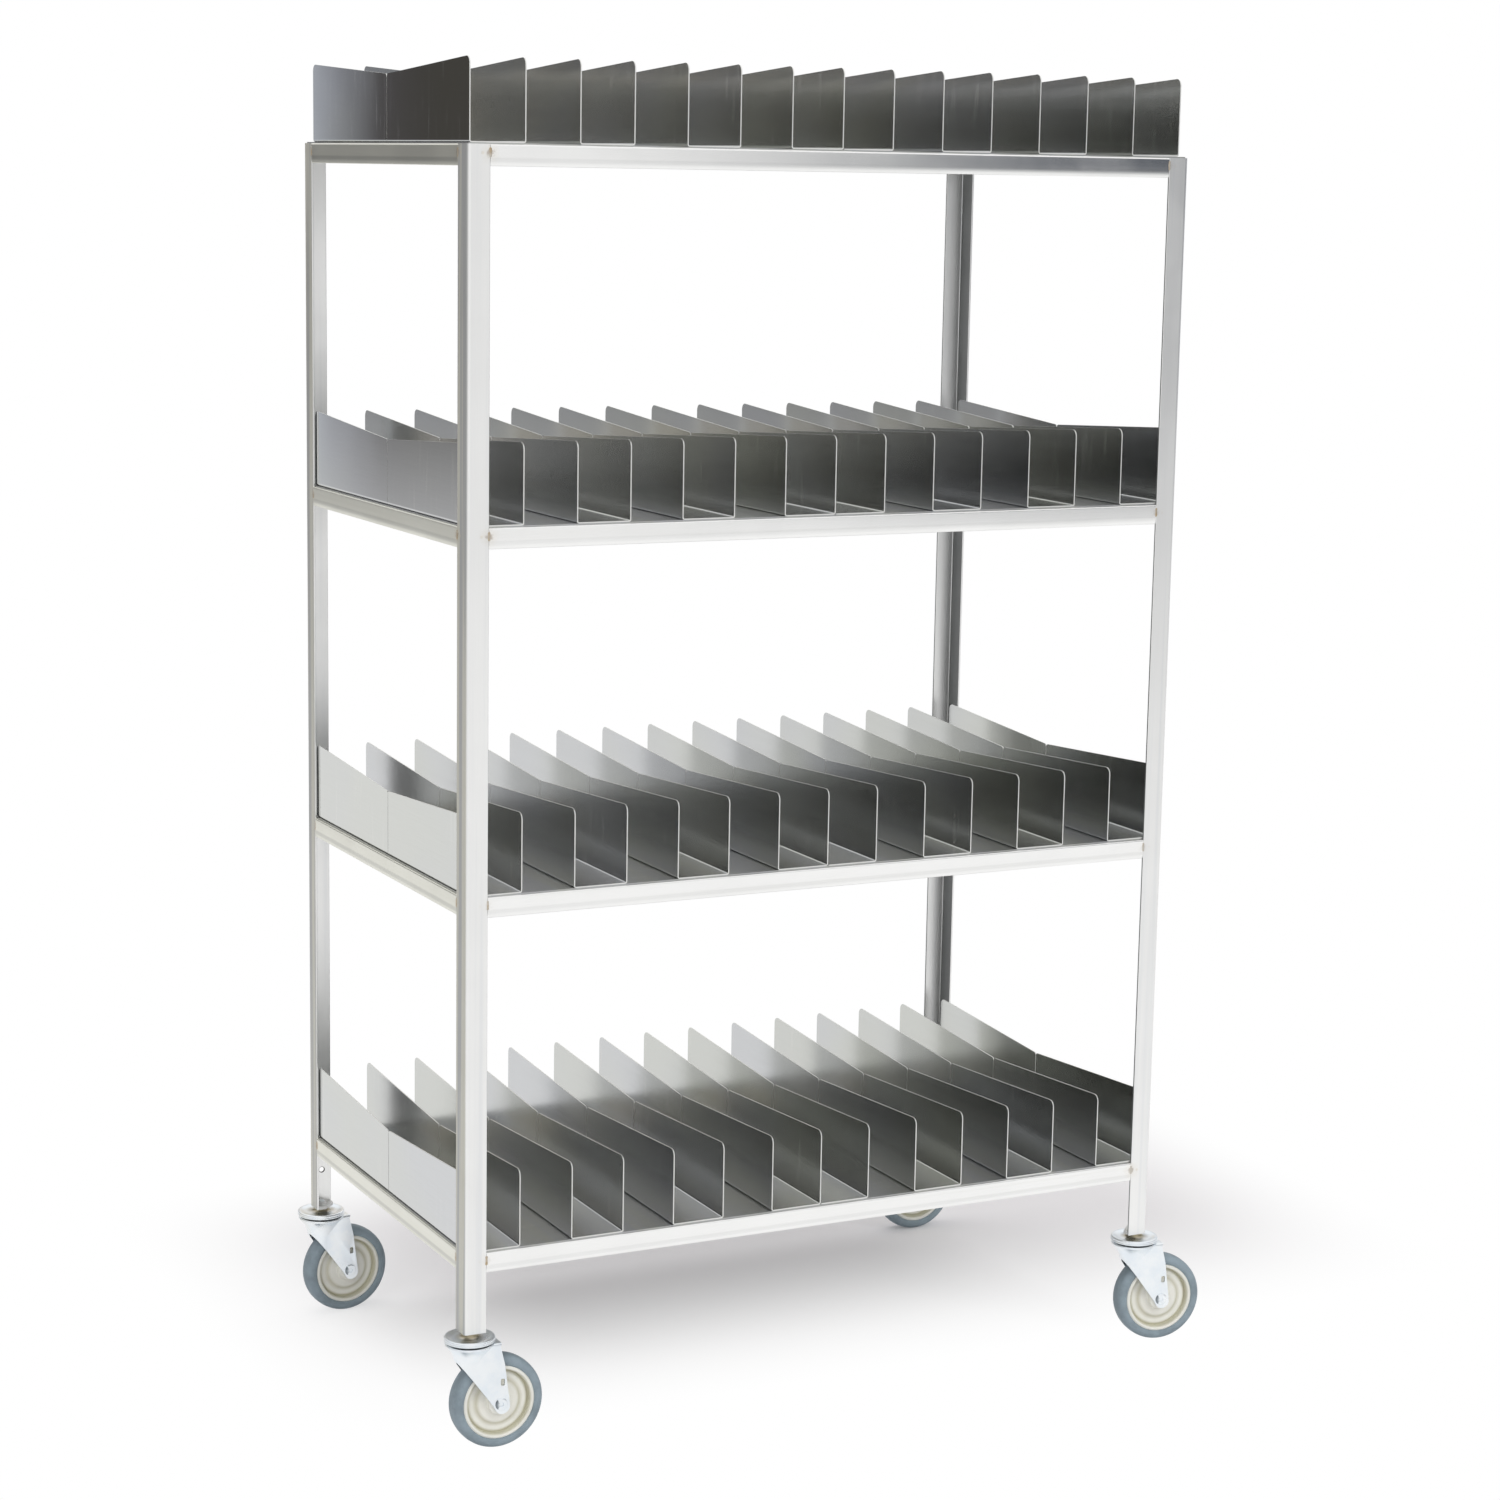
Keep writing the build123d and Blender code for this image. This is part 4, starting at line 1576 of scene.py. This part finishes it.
    def build_fork(self) -> None:
        """Build the pressed fork: round crown, flared shoulders, bent legs, axle eyes and slots."""
        low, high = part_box(f"caster_fork_{self.name}")
        top, inside = high.z, self.hub_width / 2 + self.leg_gap
        half = inside + self.fork_wall
        side = plane_matrix(self.swivel, self.forward, -self.axle_line)
        past, width = self.past, 2 * half
        across = plane_matrix(self.swivel - self.forward * past, self.axle_line, self.forward)
        legs = [self.side_outline(top, 0.0), self.slot_outline()]
        channel = bar("fork_channel", self.channel_outline(half, low.z - 5.0 * MM, top), across, 2 * past)
        bent = carve(channel, "INTERSECT", prism("fork_legs", legs, side, -width, width), soft=self.leg_edge)
        upright = Matrix.Translation(self.swivel)
        flare = lathe("fork_flare", self.flare_profile(top, half), upright, 72)
        shoulders = prism("fork_side", [self.side_outline(top, self.crown_radius)], side, -width, width)
        flare = carve(flare, "INTERSECT", shoulders)
        under, over = low.z - self.spare, top + self.spare
        gap = [(0.0, under), (past, under), (past, over), (0.0, over)]
        flare = carve(flare, "DIFFERENCE", prism("fork_gap", [gap], side, -inside, inside))
        disc = lathe("fork_crown", self.crown_profile(top), upright, 72)
        shape = bmesh.new()
        for part in (bent, flare, disc):
            shape.from_mesh(part)
        mesh = mesh_from(f"fork_{self.name}", shape, 30.0)
        piece = new_piece(f"fork_{self.name}", mesh, self.finishes.zinc)
        settle(piece, f"swivel_{self.name}", "caster_plate", f"caster_fork_{self.name}")

    def side_outline(self, top: float, lead: float) -> list[Point2]:
        """Side view of the fork, along the trail and up.

        Args:
            top: Height of the crown.
            lead: How far the outline reaches ahead of the swivel.

        Returns:
            The outline's points.
        """
        hub = (self.trail, self.hub.z)
        eye = self.fork_eye
        start = (-self.crown_radius, top - self.crown - 2.5 * MM)
        end = (hub[0] - eye * 0.86, hub[1] - eye * 0.1)
        share = (self.crown_radius - lead) / (end[0] - start[0])
        return rounded([
            (-lead, top, 0.0),
            (-lead, start[1] + (end[1] - start[1]) * share, 0.0),
            (*end, 26.0 * MM),
            (hub[0] - eye * 0.2, hub[1] - eye * 1.32, eye * 0.75),
            (hub[0] + eye * 1.02, hub[1] - eye * 0.72, eye * 0.75),
            (self.fork_tail + 4.0 * MM, top - 30.0 * MM, 30.0 * MM),
            (self.fork_tail - 2.0 * MM, top - self.crown - 2.0 * MM, 2.0 * MM),
            (self.fork_tail, top, 0.8 * MM),
        ], 6)

    def flare_profile(self, top: float, half: float) -> list[Point2]:
        """Section of the shoulders that flare from the legs up to the round crown.

        Args:
            top: Height of the crown.
            half: Half the width over both legs.

        Returns:
            The closed profile, as radius and height.
        """
        spread = self.crown_radius - half
        outer = []
        for step in range(9):
            share = step / 8
            outer.append((half + spread * (1.0 - share) ** 2, top - 2.0 * MM - self.flare_drop * share))
        outer.append((half, outer[-1][1] - self.flare_skirt))
        return outer + [(r - self.fork_wall, z) for r, z in reversed(outer)]

    def slot_outline(self) -> list[Point2]:
        """Outline of the small upright slot near the trailing edge."""
        x, z = self.trail + self.slot_back, self.hub.z + self.slot_rise
        wide, tall = self.slot_half
        corners = ((-wide, -tall), (wide, -tall), (wide, tall), (-wide, tall))
        return rounded([(x + across, z + up, self.slot_round) for across, up in corners])

    def channel_outline(self, half: float, low: float, top: float) -> list[Point2]:
        """Section of the bent sheet, across the axle and up."""
        bend, inside = self.crown_bend, half - self.fork_wall
        root, under = bend - self.fork_wall + 1.0 * MM, top - self.crown
        return rounded([
            (-half, low, 0.0),
            (-inside, low, 0.0),
            (-inside, under, root),
            (inside, under, root),
            (inside, low, 0.0),
            (half, low, 0.0),
            (half, top, bend),
            (-half, top, bend),
        ], 5)

    def crown_profile(self, top: float) -> list[Point2]:
        """Section of the round crown under the upper race."""
        radius, edge = self.crown_radius, self.crown / 2
        bore = self.stem_radius + 0.1 * MM
        rim = arc((radius - edge, top - edge), edge, -90.0, 90.0, 6)
        return [(bore, top - self.crown), *rim, (bore, top)]

    def build_axle(self) -> None:
        """Build the peened axle head with its dimple, and dress the nut."""
        outside = self.hub_width / 2 + self.leg_gap + self.fork_wall
        reach = outside + self.axle_end
        profile = [
            (0.0, -reach),
            (self.axle_radius - self.axle_chamfer, -reach),
            (self.axle_radius, -reach + self.axle_chamfer),
            (self.axle_radius, outside),
            (self.head_radius, outside),
        ]
        middle = (self.head_radius - self.head_round, outside + 0.1 * MM)
        profile += arc(middle, self.head_round, 5.0, 90.0, 5)
        profile += [
            (3.0 * MM, outside + 1.8 * MM),
            (2.4 * MM, outside + 0.6 * MM),
            (0.0, outside + 0.2 * MM),
        ]
        mesh = lathe(f"axle_bolt_{self.name}", profile, self.axle_place, 40)
        inverse = self.axle_place.inverted()
        # Painted shade on the leading side of the axle head.
        painted_shade(mesh, lambda spot: self.head_painted_shade(inverse @ spot, outside))
        piece = new_piece(f"axle_rivet_{self.name}", mesh, self.finishes.axles)
        settle(piece, f"swivel_{self.name}", "fasteners", f"axle_bolt_{self.name}")
        dress_node(f"axle_nut_{self.name}", self.finishes.fasteners)

    def head_painted_shade(self, spot: Vector, outside: float) -> float:
        """Painted shade on the leading side of the axle head, which starts at the leg's outer face."""
        edge = spot.xy.length > 6.5 * MM and spot.z > outside - 0.1 * MM
        return 0.9 if edge and spot.x < -5.0 * MM else 0.0

    def build_core(self) -> None:
        """Build the dished wheel core with its rim ring and steps."""
        low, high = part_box(f"wheel_core_{self.name}")
        radius = (high.z - low.z) / 2
        half, hub = self.core_width / 2, self.hub_width / 2
        face = [(self.core_bore, hub)]
        face += [(out * MM, hub - depth * MM) for out, depth in self.core_face]
        face += [(44.6 * MM, half - 1.6 * MM)]
        face += arc((radius - 2.6 * MM, half - 2.2 * MM), 2.2 * MM, 140.0, 45.0, 5)
        face += [(radius, half - 1.6 * MM)]
        profile = face + [(r, -h) for r, h in reversed(face)]
        mesh = lathe(f"wheel_core_{self.name}", profile, self.axle_place, 96, 28.0)
        # Painted shade in the core's step and beside its rim.
        painted_shade(mesh, lambda spot: self.groove_painted_shade((spot - self.hub).cross(self.axle_line).length))
        piece = new_piece(f"wheel_centre_{self.name}", mesh, self.finishes.cores)
        settle(piece, f"wheel_{self.name}", "wheel_core", f"wheel_core_{self.name}")

    def groove_painted_shade(self, radius: float) -> float:
        """Painted shade in the core's step and beside its rim.

        Args:
            radius: Distance from the axle.

        Returns:
            The painted shade, from 0 to 1.
        """
        step = 1.0 - abs(radius - self.step_shade_ring[0]) / self.step_shade_ring[1]
        rim = 1.0 - abs(radius - self.rim_shade_ring[0]) / self.rim_shade_ring[1]
        return max(0.7 * step, rim, 0.0)

    def build_tyre(self) -> None:
        """Build the tyre with rounded shoulders and a slightly crowned tread."""
        low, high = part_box(f"wheel_tyre_{self.name}")
        radius = (high.z - low.z) / 2
        core_low, core_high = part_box(f"wheel_core_{self.name}")
        bore = (core_high.z - core_low.z) / 2 + self.tyre_gap
        half, turn = self.tyre_width / 2, self.tyre_round
        profile = [
            (bore, half - 2.4 * MM),
            (bore + 1.0 * MM, half - 1.2 * MM),
            (bore + 2.6 * MM, half - 0.3 * MM),
        ]
        profile += arc((radius - turn - self.tyre_crown, half - turn), turn, 85.0, 8.0, 9)
        profile += [(radius, half * 0.22)]
        profile += [(r, -h) for r, h in reversed(profile)]
        mesh = lathe(f"wheel_tyre_{self.name}", profile, self.axle_place, 112, 40.0)
        piece = new_piece(f"tyre_{self.name}", mesh, self.finishes.tyres)
        settle(piece, f"wheel_{self.name}", "wheel_tyre", f"wheel_tyre_{self.name}")


# Welds

@dataclass
class WeldSeams:
    """Short tack welds where each rail meets a post, laid along the seam by geometry nodes."""

    finishes: Finishes
    ripple: float = 1.7 * MM
    height: float = 0.45 * MM
    step: float = 1.4 * MM
    upper: float = 6.0 * MM
    lower: float = 15.0 * MM
    uneven: Point2 = (0.8, 1.15)
    seed: int = 11

    def tree(self) -> GeometryTree:
        """Geometry nodes that lay overlapping ripples along a straight seam."""
        tree = GeometryTree("weld_seam")
        for label in ("Start", "End", "Scale"):
            tree.input(label, "NodeSocketVector")
        tree.input("Step", "NodeSocketFloat")
        tree.input("Seed", "NodeSocketInt")
        ends = {label: tree.value(label) for label in ("Start", "End")}
        line = tree.add("GeometryNodeCurvePrimitiveLine", ends)
        feeds = {"Curve": line.outputs["Curve"], "Length": tree.value("Step")}
        points = tree.add("GeometryNodeCurveToPoints", feeds, mode="LENGTH")
        ball = tree.add("GeometryNodeMeshIcoSphere", {"Radius": 1.0, "Subdivisions": 2})
        low, high = self.uneven
        feeds = {"Min": low, "Max": high, "Seed": tree.value("Seed")}
        uneven = tree.add("FunctionNodeRandomValue", feeds, data_type="FLOAT")
        share = next(output for output in uneven.outputs if output.type == "VALUE")
        size = tree.add("ShaderNodeVectorMath", {0: tree.value("Scale"), "Scale": share}, operation="SCALE")
        placed = tree.add("GeometryNodeInstanceOnPoints", {
            "Points": points.outputs["Points"],
            "Instance": ball.outputs["Mesh"],
            "Scale": size.outputs[0],
        })
        smooth = tree.add("GeometryNodeSetShadeSmooth", {"Geometry": placed.outputs["Instances"]})
        tree.end(smooth.outputs["Geometry"], [(self.finishes.welds, None)])
        return tree

    def build(self) -> None:
        """Lay the beads of every shelf and join them into one piece for each shelf."""
        tree = self.tree()
        for shelf in SHELVES:
            shape = bmesh.new()
            for number, (start, end, scale) in enumerate(self.seams(shelf)):
                mesh = tree.run("seam", {
                    "Start": start,
                    "End": end,
                    "Scale": scale,
                    "Step": self.step,
                    "Seed": self.seed + number + shelf * 10,
                })
                shape.from_mesh(mesh)
                bpy.data.meshes.remove(mesh)
            beads = bpy.data.meshes.new(f"weld_beads_{shelf}")
            shape.to_mesh(beads)
            shape.free()
            settle(new_piece(f"weld_beads_{shelf}", beads, self.finishes.welds), "frame", "frame_angle")

    def seams(self, shelf: int) -> Iterator[tuple[Vector, Vector, Vector]]:
        """Ends and ripple size of each seam of a shelf.

        Args:
            shelf: The shelf's number.

        Yields:
            Lower end, upper end and half sizes of a ripple.
        """
        wide, thin = self.ripple, self.height
        for side in Side:
            low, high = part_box(f"shelf_{shelf}_{side.value}_rail")
            bottom, top = high.z - self.lower, high.z - self.upper
            if side in (Side.FRONT, Side.REAR):
                face = low.y if side is Side.FRONT else high.y
                ends = [(x, face) for x in (low.x, high.x)]
                size = Vector((wide, thin, wide))
            else:
                face = low.x if side is Side.LEFT else high.x
                ends = [(face, y) for y in (low.y, high.y)]
                size = Vector((thin, wide, wide))
            for x, y in ends:
                yield Vector((x, y, bottom)), Vector((x, y, top)), size


# Studio

@dataclass
class Studio:
    """Pale floor, white surroundings, soft lamps and the camera."""

    camera_offset: Vector = field(default_factory=lambda: Vector((-1.53538, -3.84095, 0.0)))
    camera_height: float = 1.66822
    yaw: float = 0.467406
    pitch: float = 0.173526
    roll: float = 0.0174726
    lens: float = 79.336
    sensor: float = 36.0
    floor_size: float = 30.0
    floor_colour: Colour = (0.86, 0.85, 0.855)
    floor_glow: float = 0.14
    fade_across: tuple[Point2, Point2] = ((-0.20, -0.75), (0.80, 1.2))
    fade_along: tuple[Point2, Point2] = ((0.31, -0.27), (0.55, 0.95))
    ambient: Colour = (0.46, 0.445, 0.455)
    lamp_aim: float = 0.9
    surround_radius: float = 6.0
    surround_height: float = 2.8
    surround_steps: int = 96
    surround_foot: Point2 = (0.0, 1.25)
    surround_lift: float = 0.2
    surround_lift_run: Point2 = (-1.0, -3.0)
    surround_head: Point2 = (2.15, 2.8)
    surround_white: Colour = (0.95, 0.95, 0.95)
    surround_stops: tuple[tuple[float, Colour], ...] = (
        (-158.0, (0.92, 0.92, 0.92)),
        (-149.0, (0.06, 0.07, 0.09)),
        (-110.0, (0.06, 0.07, 0.09)),
        (-85.0, (0.52, 0.55, 0.58)),
        (-33.0, (0.60, 0.60, 0.61)),
        (-27.0, (0.66, 0.59, 0.50)),
        (-18.0, (0.66, 0.59, 0.50)),
        (10.0, (0.30, 0.29, 0.28)),
        (21.0, (0.12, 0.12, 0.125)),
        (21.6, (0.78, 0.83, 0.89)),
        (23.68, (0.80, 0.85, 0.90)),
        (24.02, (0.17, 0.16, 0.19)),
        (25.0, (0.105, 0.098, 0.102)),
        (26.0, (0.08, 0.075, 0.067)),
        (50.0, (0.085, 0.078, 0.07)),
        (70.0, (0.24, 0.24, 0.23)),
        (122.0, (0.24, 0.24, 0.23)),
        (140.0, (0.92, 0.92, 0.92)),
    )

    def build(self) -> None:
        """Set up the whole studio."""
        bpy.context.scene.view_settings.view_transform = "Standard"
        self.build_camera()
        self.build_world()
        self.build_floor()
        self.build_surround()
        self.build_lamps()

    def build_camera(self) -> None:
        """Stand the camera where the photograph was taken from."""
        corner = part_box("post_front_left")[0]
        forward = Vector((
            math.sin(self.yaw) * math.cos(self.pitch),
            math.cos(self.yaw) * math.cos(self.pitch),
            -math.sin(self.pitch),
        ))
        level = Vector((math.cos(self.yaw), -math.sin(self.yaw), 0.0))
        upward = level.cross(forward)
        right = level * math.cos(self.roll) + upward * math.sin(self.roll)
        top = upward * math.cos(self.roll) - level * math.sin(self.roll)
        turn = Matrix((right, top, -forward)).transposed().to_4x4()
        place = Vector((corner.x, corner.y, 0.0)) + self.camera_offset + UP * self.camera_height
        lens = bpy.data.cameras.new("photo_camera")
        lens.sensor_width = self.sensor
        lens.lens = self.lens
        lens.clip_end = 100.0
        camera = bpy.data.objects.new("photo_camera", lens)
        camera.matrix_world = Matrix.Translation(place) @ turn
        bpy.context.scene.collection.objects.link(camera)
        bpy.context.scene.camera = camera

    def build_world(self) -> None:
        """White surroundings for the eye and for gloss, and a softer grey as light."""
        world = bpy.data.worlds.new("white_studio")
        bpy.context.scene.world = world
        world.use_nodes = True
        tree = Tree(world.node_tree)
        feeds = {"Color": tree.mix(self.looked_at(tree), self.ambient, WHITE)}
        glow = tree.add("ShaderNodeBackground", feeds)
        tree.add("ShaderNodeOutputWorld", {"Surface": glow.outputs[0]})

    def looked_at(self, tree: Tree) -> Socket:
        """Mask of the rays that show the surroundings to the eye, straight, in gloss or through glass."""
        path = tree.add("ShaderNodeLightPath").outputs
        seen = tree.math("MAXIMUM", path["Is Camera Ray"], path["Is Glossy Ray"])
        return tree.math("MAXIMUM", seen, path["Is Transmission Ray"])

    def build_floor(self) -> None:
        """Lay a pale floor that keeps the shadow and is white to the eye elsewhere."""
        half = self.floor_size / 2
        shape = bmesh.new()
        corners = ((-half, -half), (half, -half), (half, half), (-half, half))
        shape.faces.new([shape.verts.new((x, y, 0.0)) for x, y in corners])
        material = bpy.data.materials.new("studio_floor")
        material.use_nodes = True
        tree = Tree(material.node_tree)
        seen = self.looked_at(tree)
        matt = tree.add("ShaderNodeBsdfDiffuse", {"Color": (*self.floor_colour, 1.0)})
        glow = tree.add("ShaderNodeEmission", {"Strength": tree.times(seen, self.floor_glow)})
        both = tree.add("ShaderNodeAddShader", {0: matt.outputs[0], 1: glow.outputs[0]})
        parts = tree.split(tree.place())
        away = tree.opposite(tree.times(
            self.fade(tree, parts["X"], self.fade_across),
            self.fade(tree, parts["Y"], self.fade_along),
        ))
        white = tree.add("ShaderNodeEmission")
        faded = tree.add("ShaderNodeMixShader", {
            "Fac": tree.times(away, seen),
            1: both.outputs[0],
            2: white.outputs[0],
        })
        tree.add("ShaderNodeOutputMaterial", {"Surface": faded.outputs[0]})
        self.stand("studio_floor", shape, material)

    def fade(self, tree: Tree, along: Socket, edges: tuple[Point2, Point2]) -> Socket:
        """Mask of the floor's shaded strip along one coordinate, which fades out at both of its edges."""
        return tree.times(*(tree.opposite(tree.ramp(along, *edge)) for edge in edges))

    def stand(self, name: str, shape: bmesh.types.BMesh, material: Material) -> Piece:
        """Put a piece of the studio in the scene.

        Args:
            name: Its name.
            shape: Its shape, which is freed.
            material: Its material.

        Returns:
            The new object.
        """
        mesh = bpy.data.meshes.new(name)
        shape.to_mesh(mesh)
        shape.free()
        piece = new_piece(name, mesh, material)
        return piece

    def build_surround(self) -> None:
        """Stand a ring of grey and dark cards round the rack, seen only in reflections."""
        material = bpy.data.materials.new("dark_surround")
        material.use_nodes = True
        tree = Tree(material.node_tree)
        parts = tree.split(tree.place())
        bearing = tree.math("ARCTAN2", tree.times(parts["X"], -1.0), parts["Y"])
        share = tree.math("MULTIPLY_ADD", bearing, 0.5 / math.pi, 0.5)
        cards = tree.add("ShaderNodeValToRGB", {"Fac": share})
        stops = cards.color_ramp.elements
        stops.remove(stops[1])
        for index, (angle, colour) in enumerate(self.surround_stops):
            position = angle / 360.0 + 0.5
            stop = stops[0] if index == 0 else stops.new(position)
            stop.position = position
            stop.color = (*colour, 1.0)
        lift = tree.times(tree.ramp(parts["Y"], *self.surround_lift_run), -self.surround_lift)
        rise = tree.ramp(tree.math("ADD", parts["Z"], lift), *self.surround_foot)
        fall = tree.ramp(parts["Z"], *self.surround_head)
        tone = tree.mix(rise, self.surround_white, cards.outputs["Color"])
        glow = tree.add("ShaderNodeEmission", {"Color": tree.mix(fall, tone, WHITE)})
        tree.add("ShaderNodeOutputMaterial", {"Surface": glow.outputs[0]})
        shape = bmesh.new()
        low, high = [], []
        for step in range(self.surround_steps):
            angle = 2 * math.pi * step / self.surround_steps
            spot = Vector((math.sin(angle), math.cos(angle), 0.0)) * self.surround_radius
            low.append(shape.verts.new(spot))
            high.append(shape.verts.new(spot + UP * self.surround_height))
        for i in range(self.surround_steps):
            j = (i + 1) % self.surround_steps
            shape.faces.new((low[i], low[j], high[j], high[i]))
        card = self.stand("dark_surround", shape, material)
        card.visible_camera = False
        card.visible_diffuse = False
        card.visible_shadow = False

    def lamp(self, name: str, place: Vector, size: float, power: float) -> None:
        """Hang one soft square lamp that faces the middle of the rack.

        Args:
            name: The lamp's name.
            place: Where it hangs.
            size: Length of its side.
            power: Its power in watts.
        """
        data = bpy.data.lights.new(name, "AREA")
        data.energy = power
        data.size = size
        lamp = bpy.data.objects.new(name, data)
        turn = (UP * self.lamp_aim - place).to_track_quat("-Z", "Y").to_matrix().to_4x4()
        lamp.matrix_world = Matrix.Translation(place) @ turn
        lamp.visible_camera = False
        lamp.visible_glossy = False
        bpy.context.scene.collection.objects.link(lamp)

    def build_lamps(self) -> None:
        """Hang the key, fill and top lamps."""
        self.lamp("key", Vector((1.6, -4.2, 3.2)), 2.2, 80.0)
        self.lamp("fill", Vector((-3.4, -3.0, 2.8)), 2.2, 42.0)
        self.lamp("top", Vector((-0.6, 0.2, 4.2)), 2.6, 48.0)


def main() -> None:
    """Build the rack's looks and the studio around it."""
    logging.basicConfig(level=logging.INFO, format="%(message)s")
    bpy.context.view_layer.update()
    finishes = Finishes.build()
    AngleFrame(finishes).build()
    ShelfRows(finishes).build()
    for corner in Corner:
        Caster(corner, finishes).build()
    dress_node("swivel_balls", finishes.fasteners)
    WeldSeams(finishes).build()
    Studio().build()


if __name__ == "__main__":
    main()
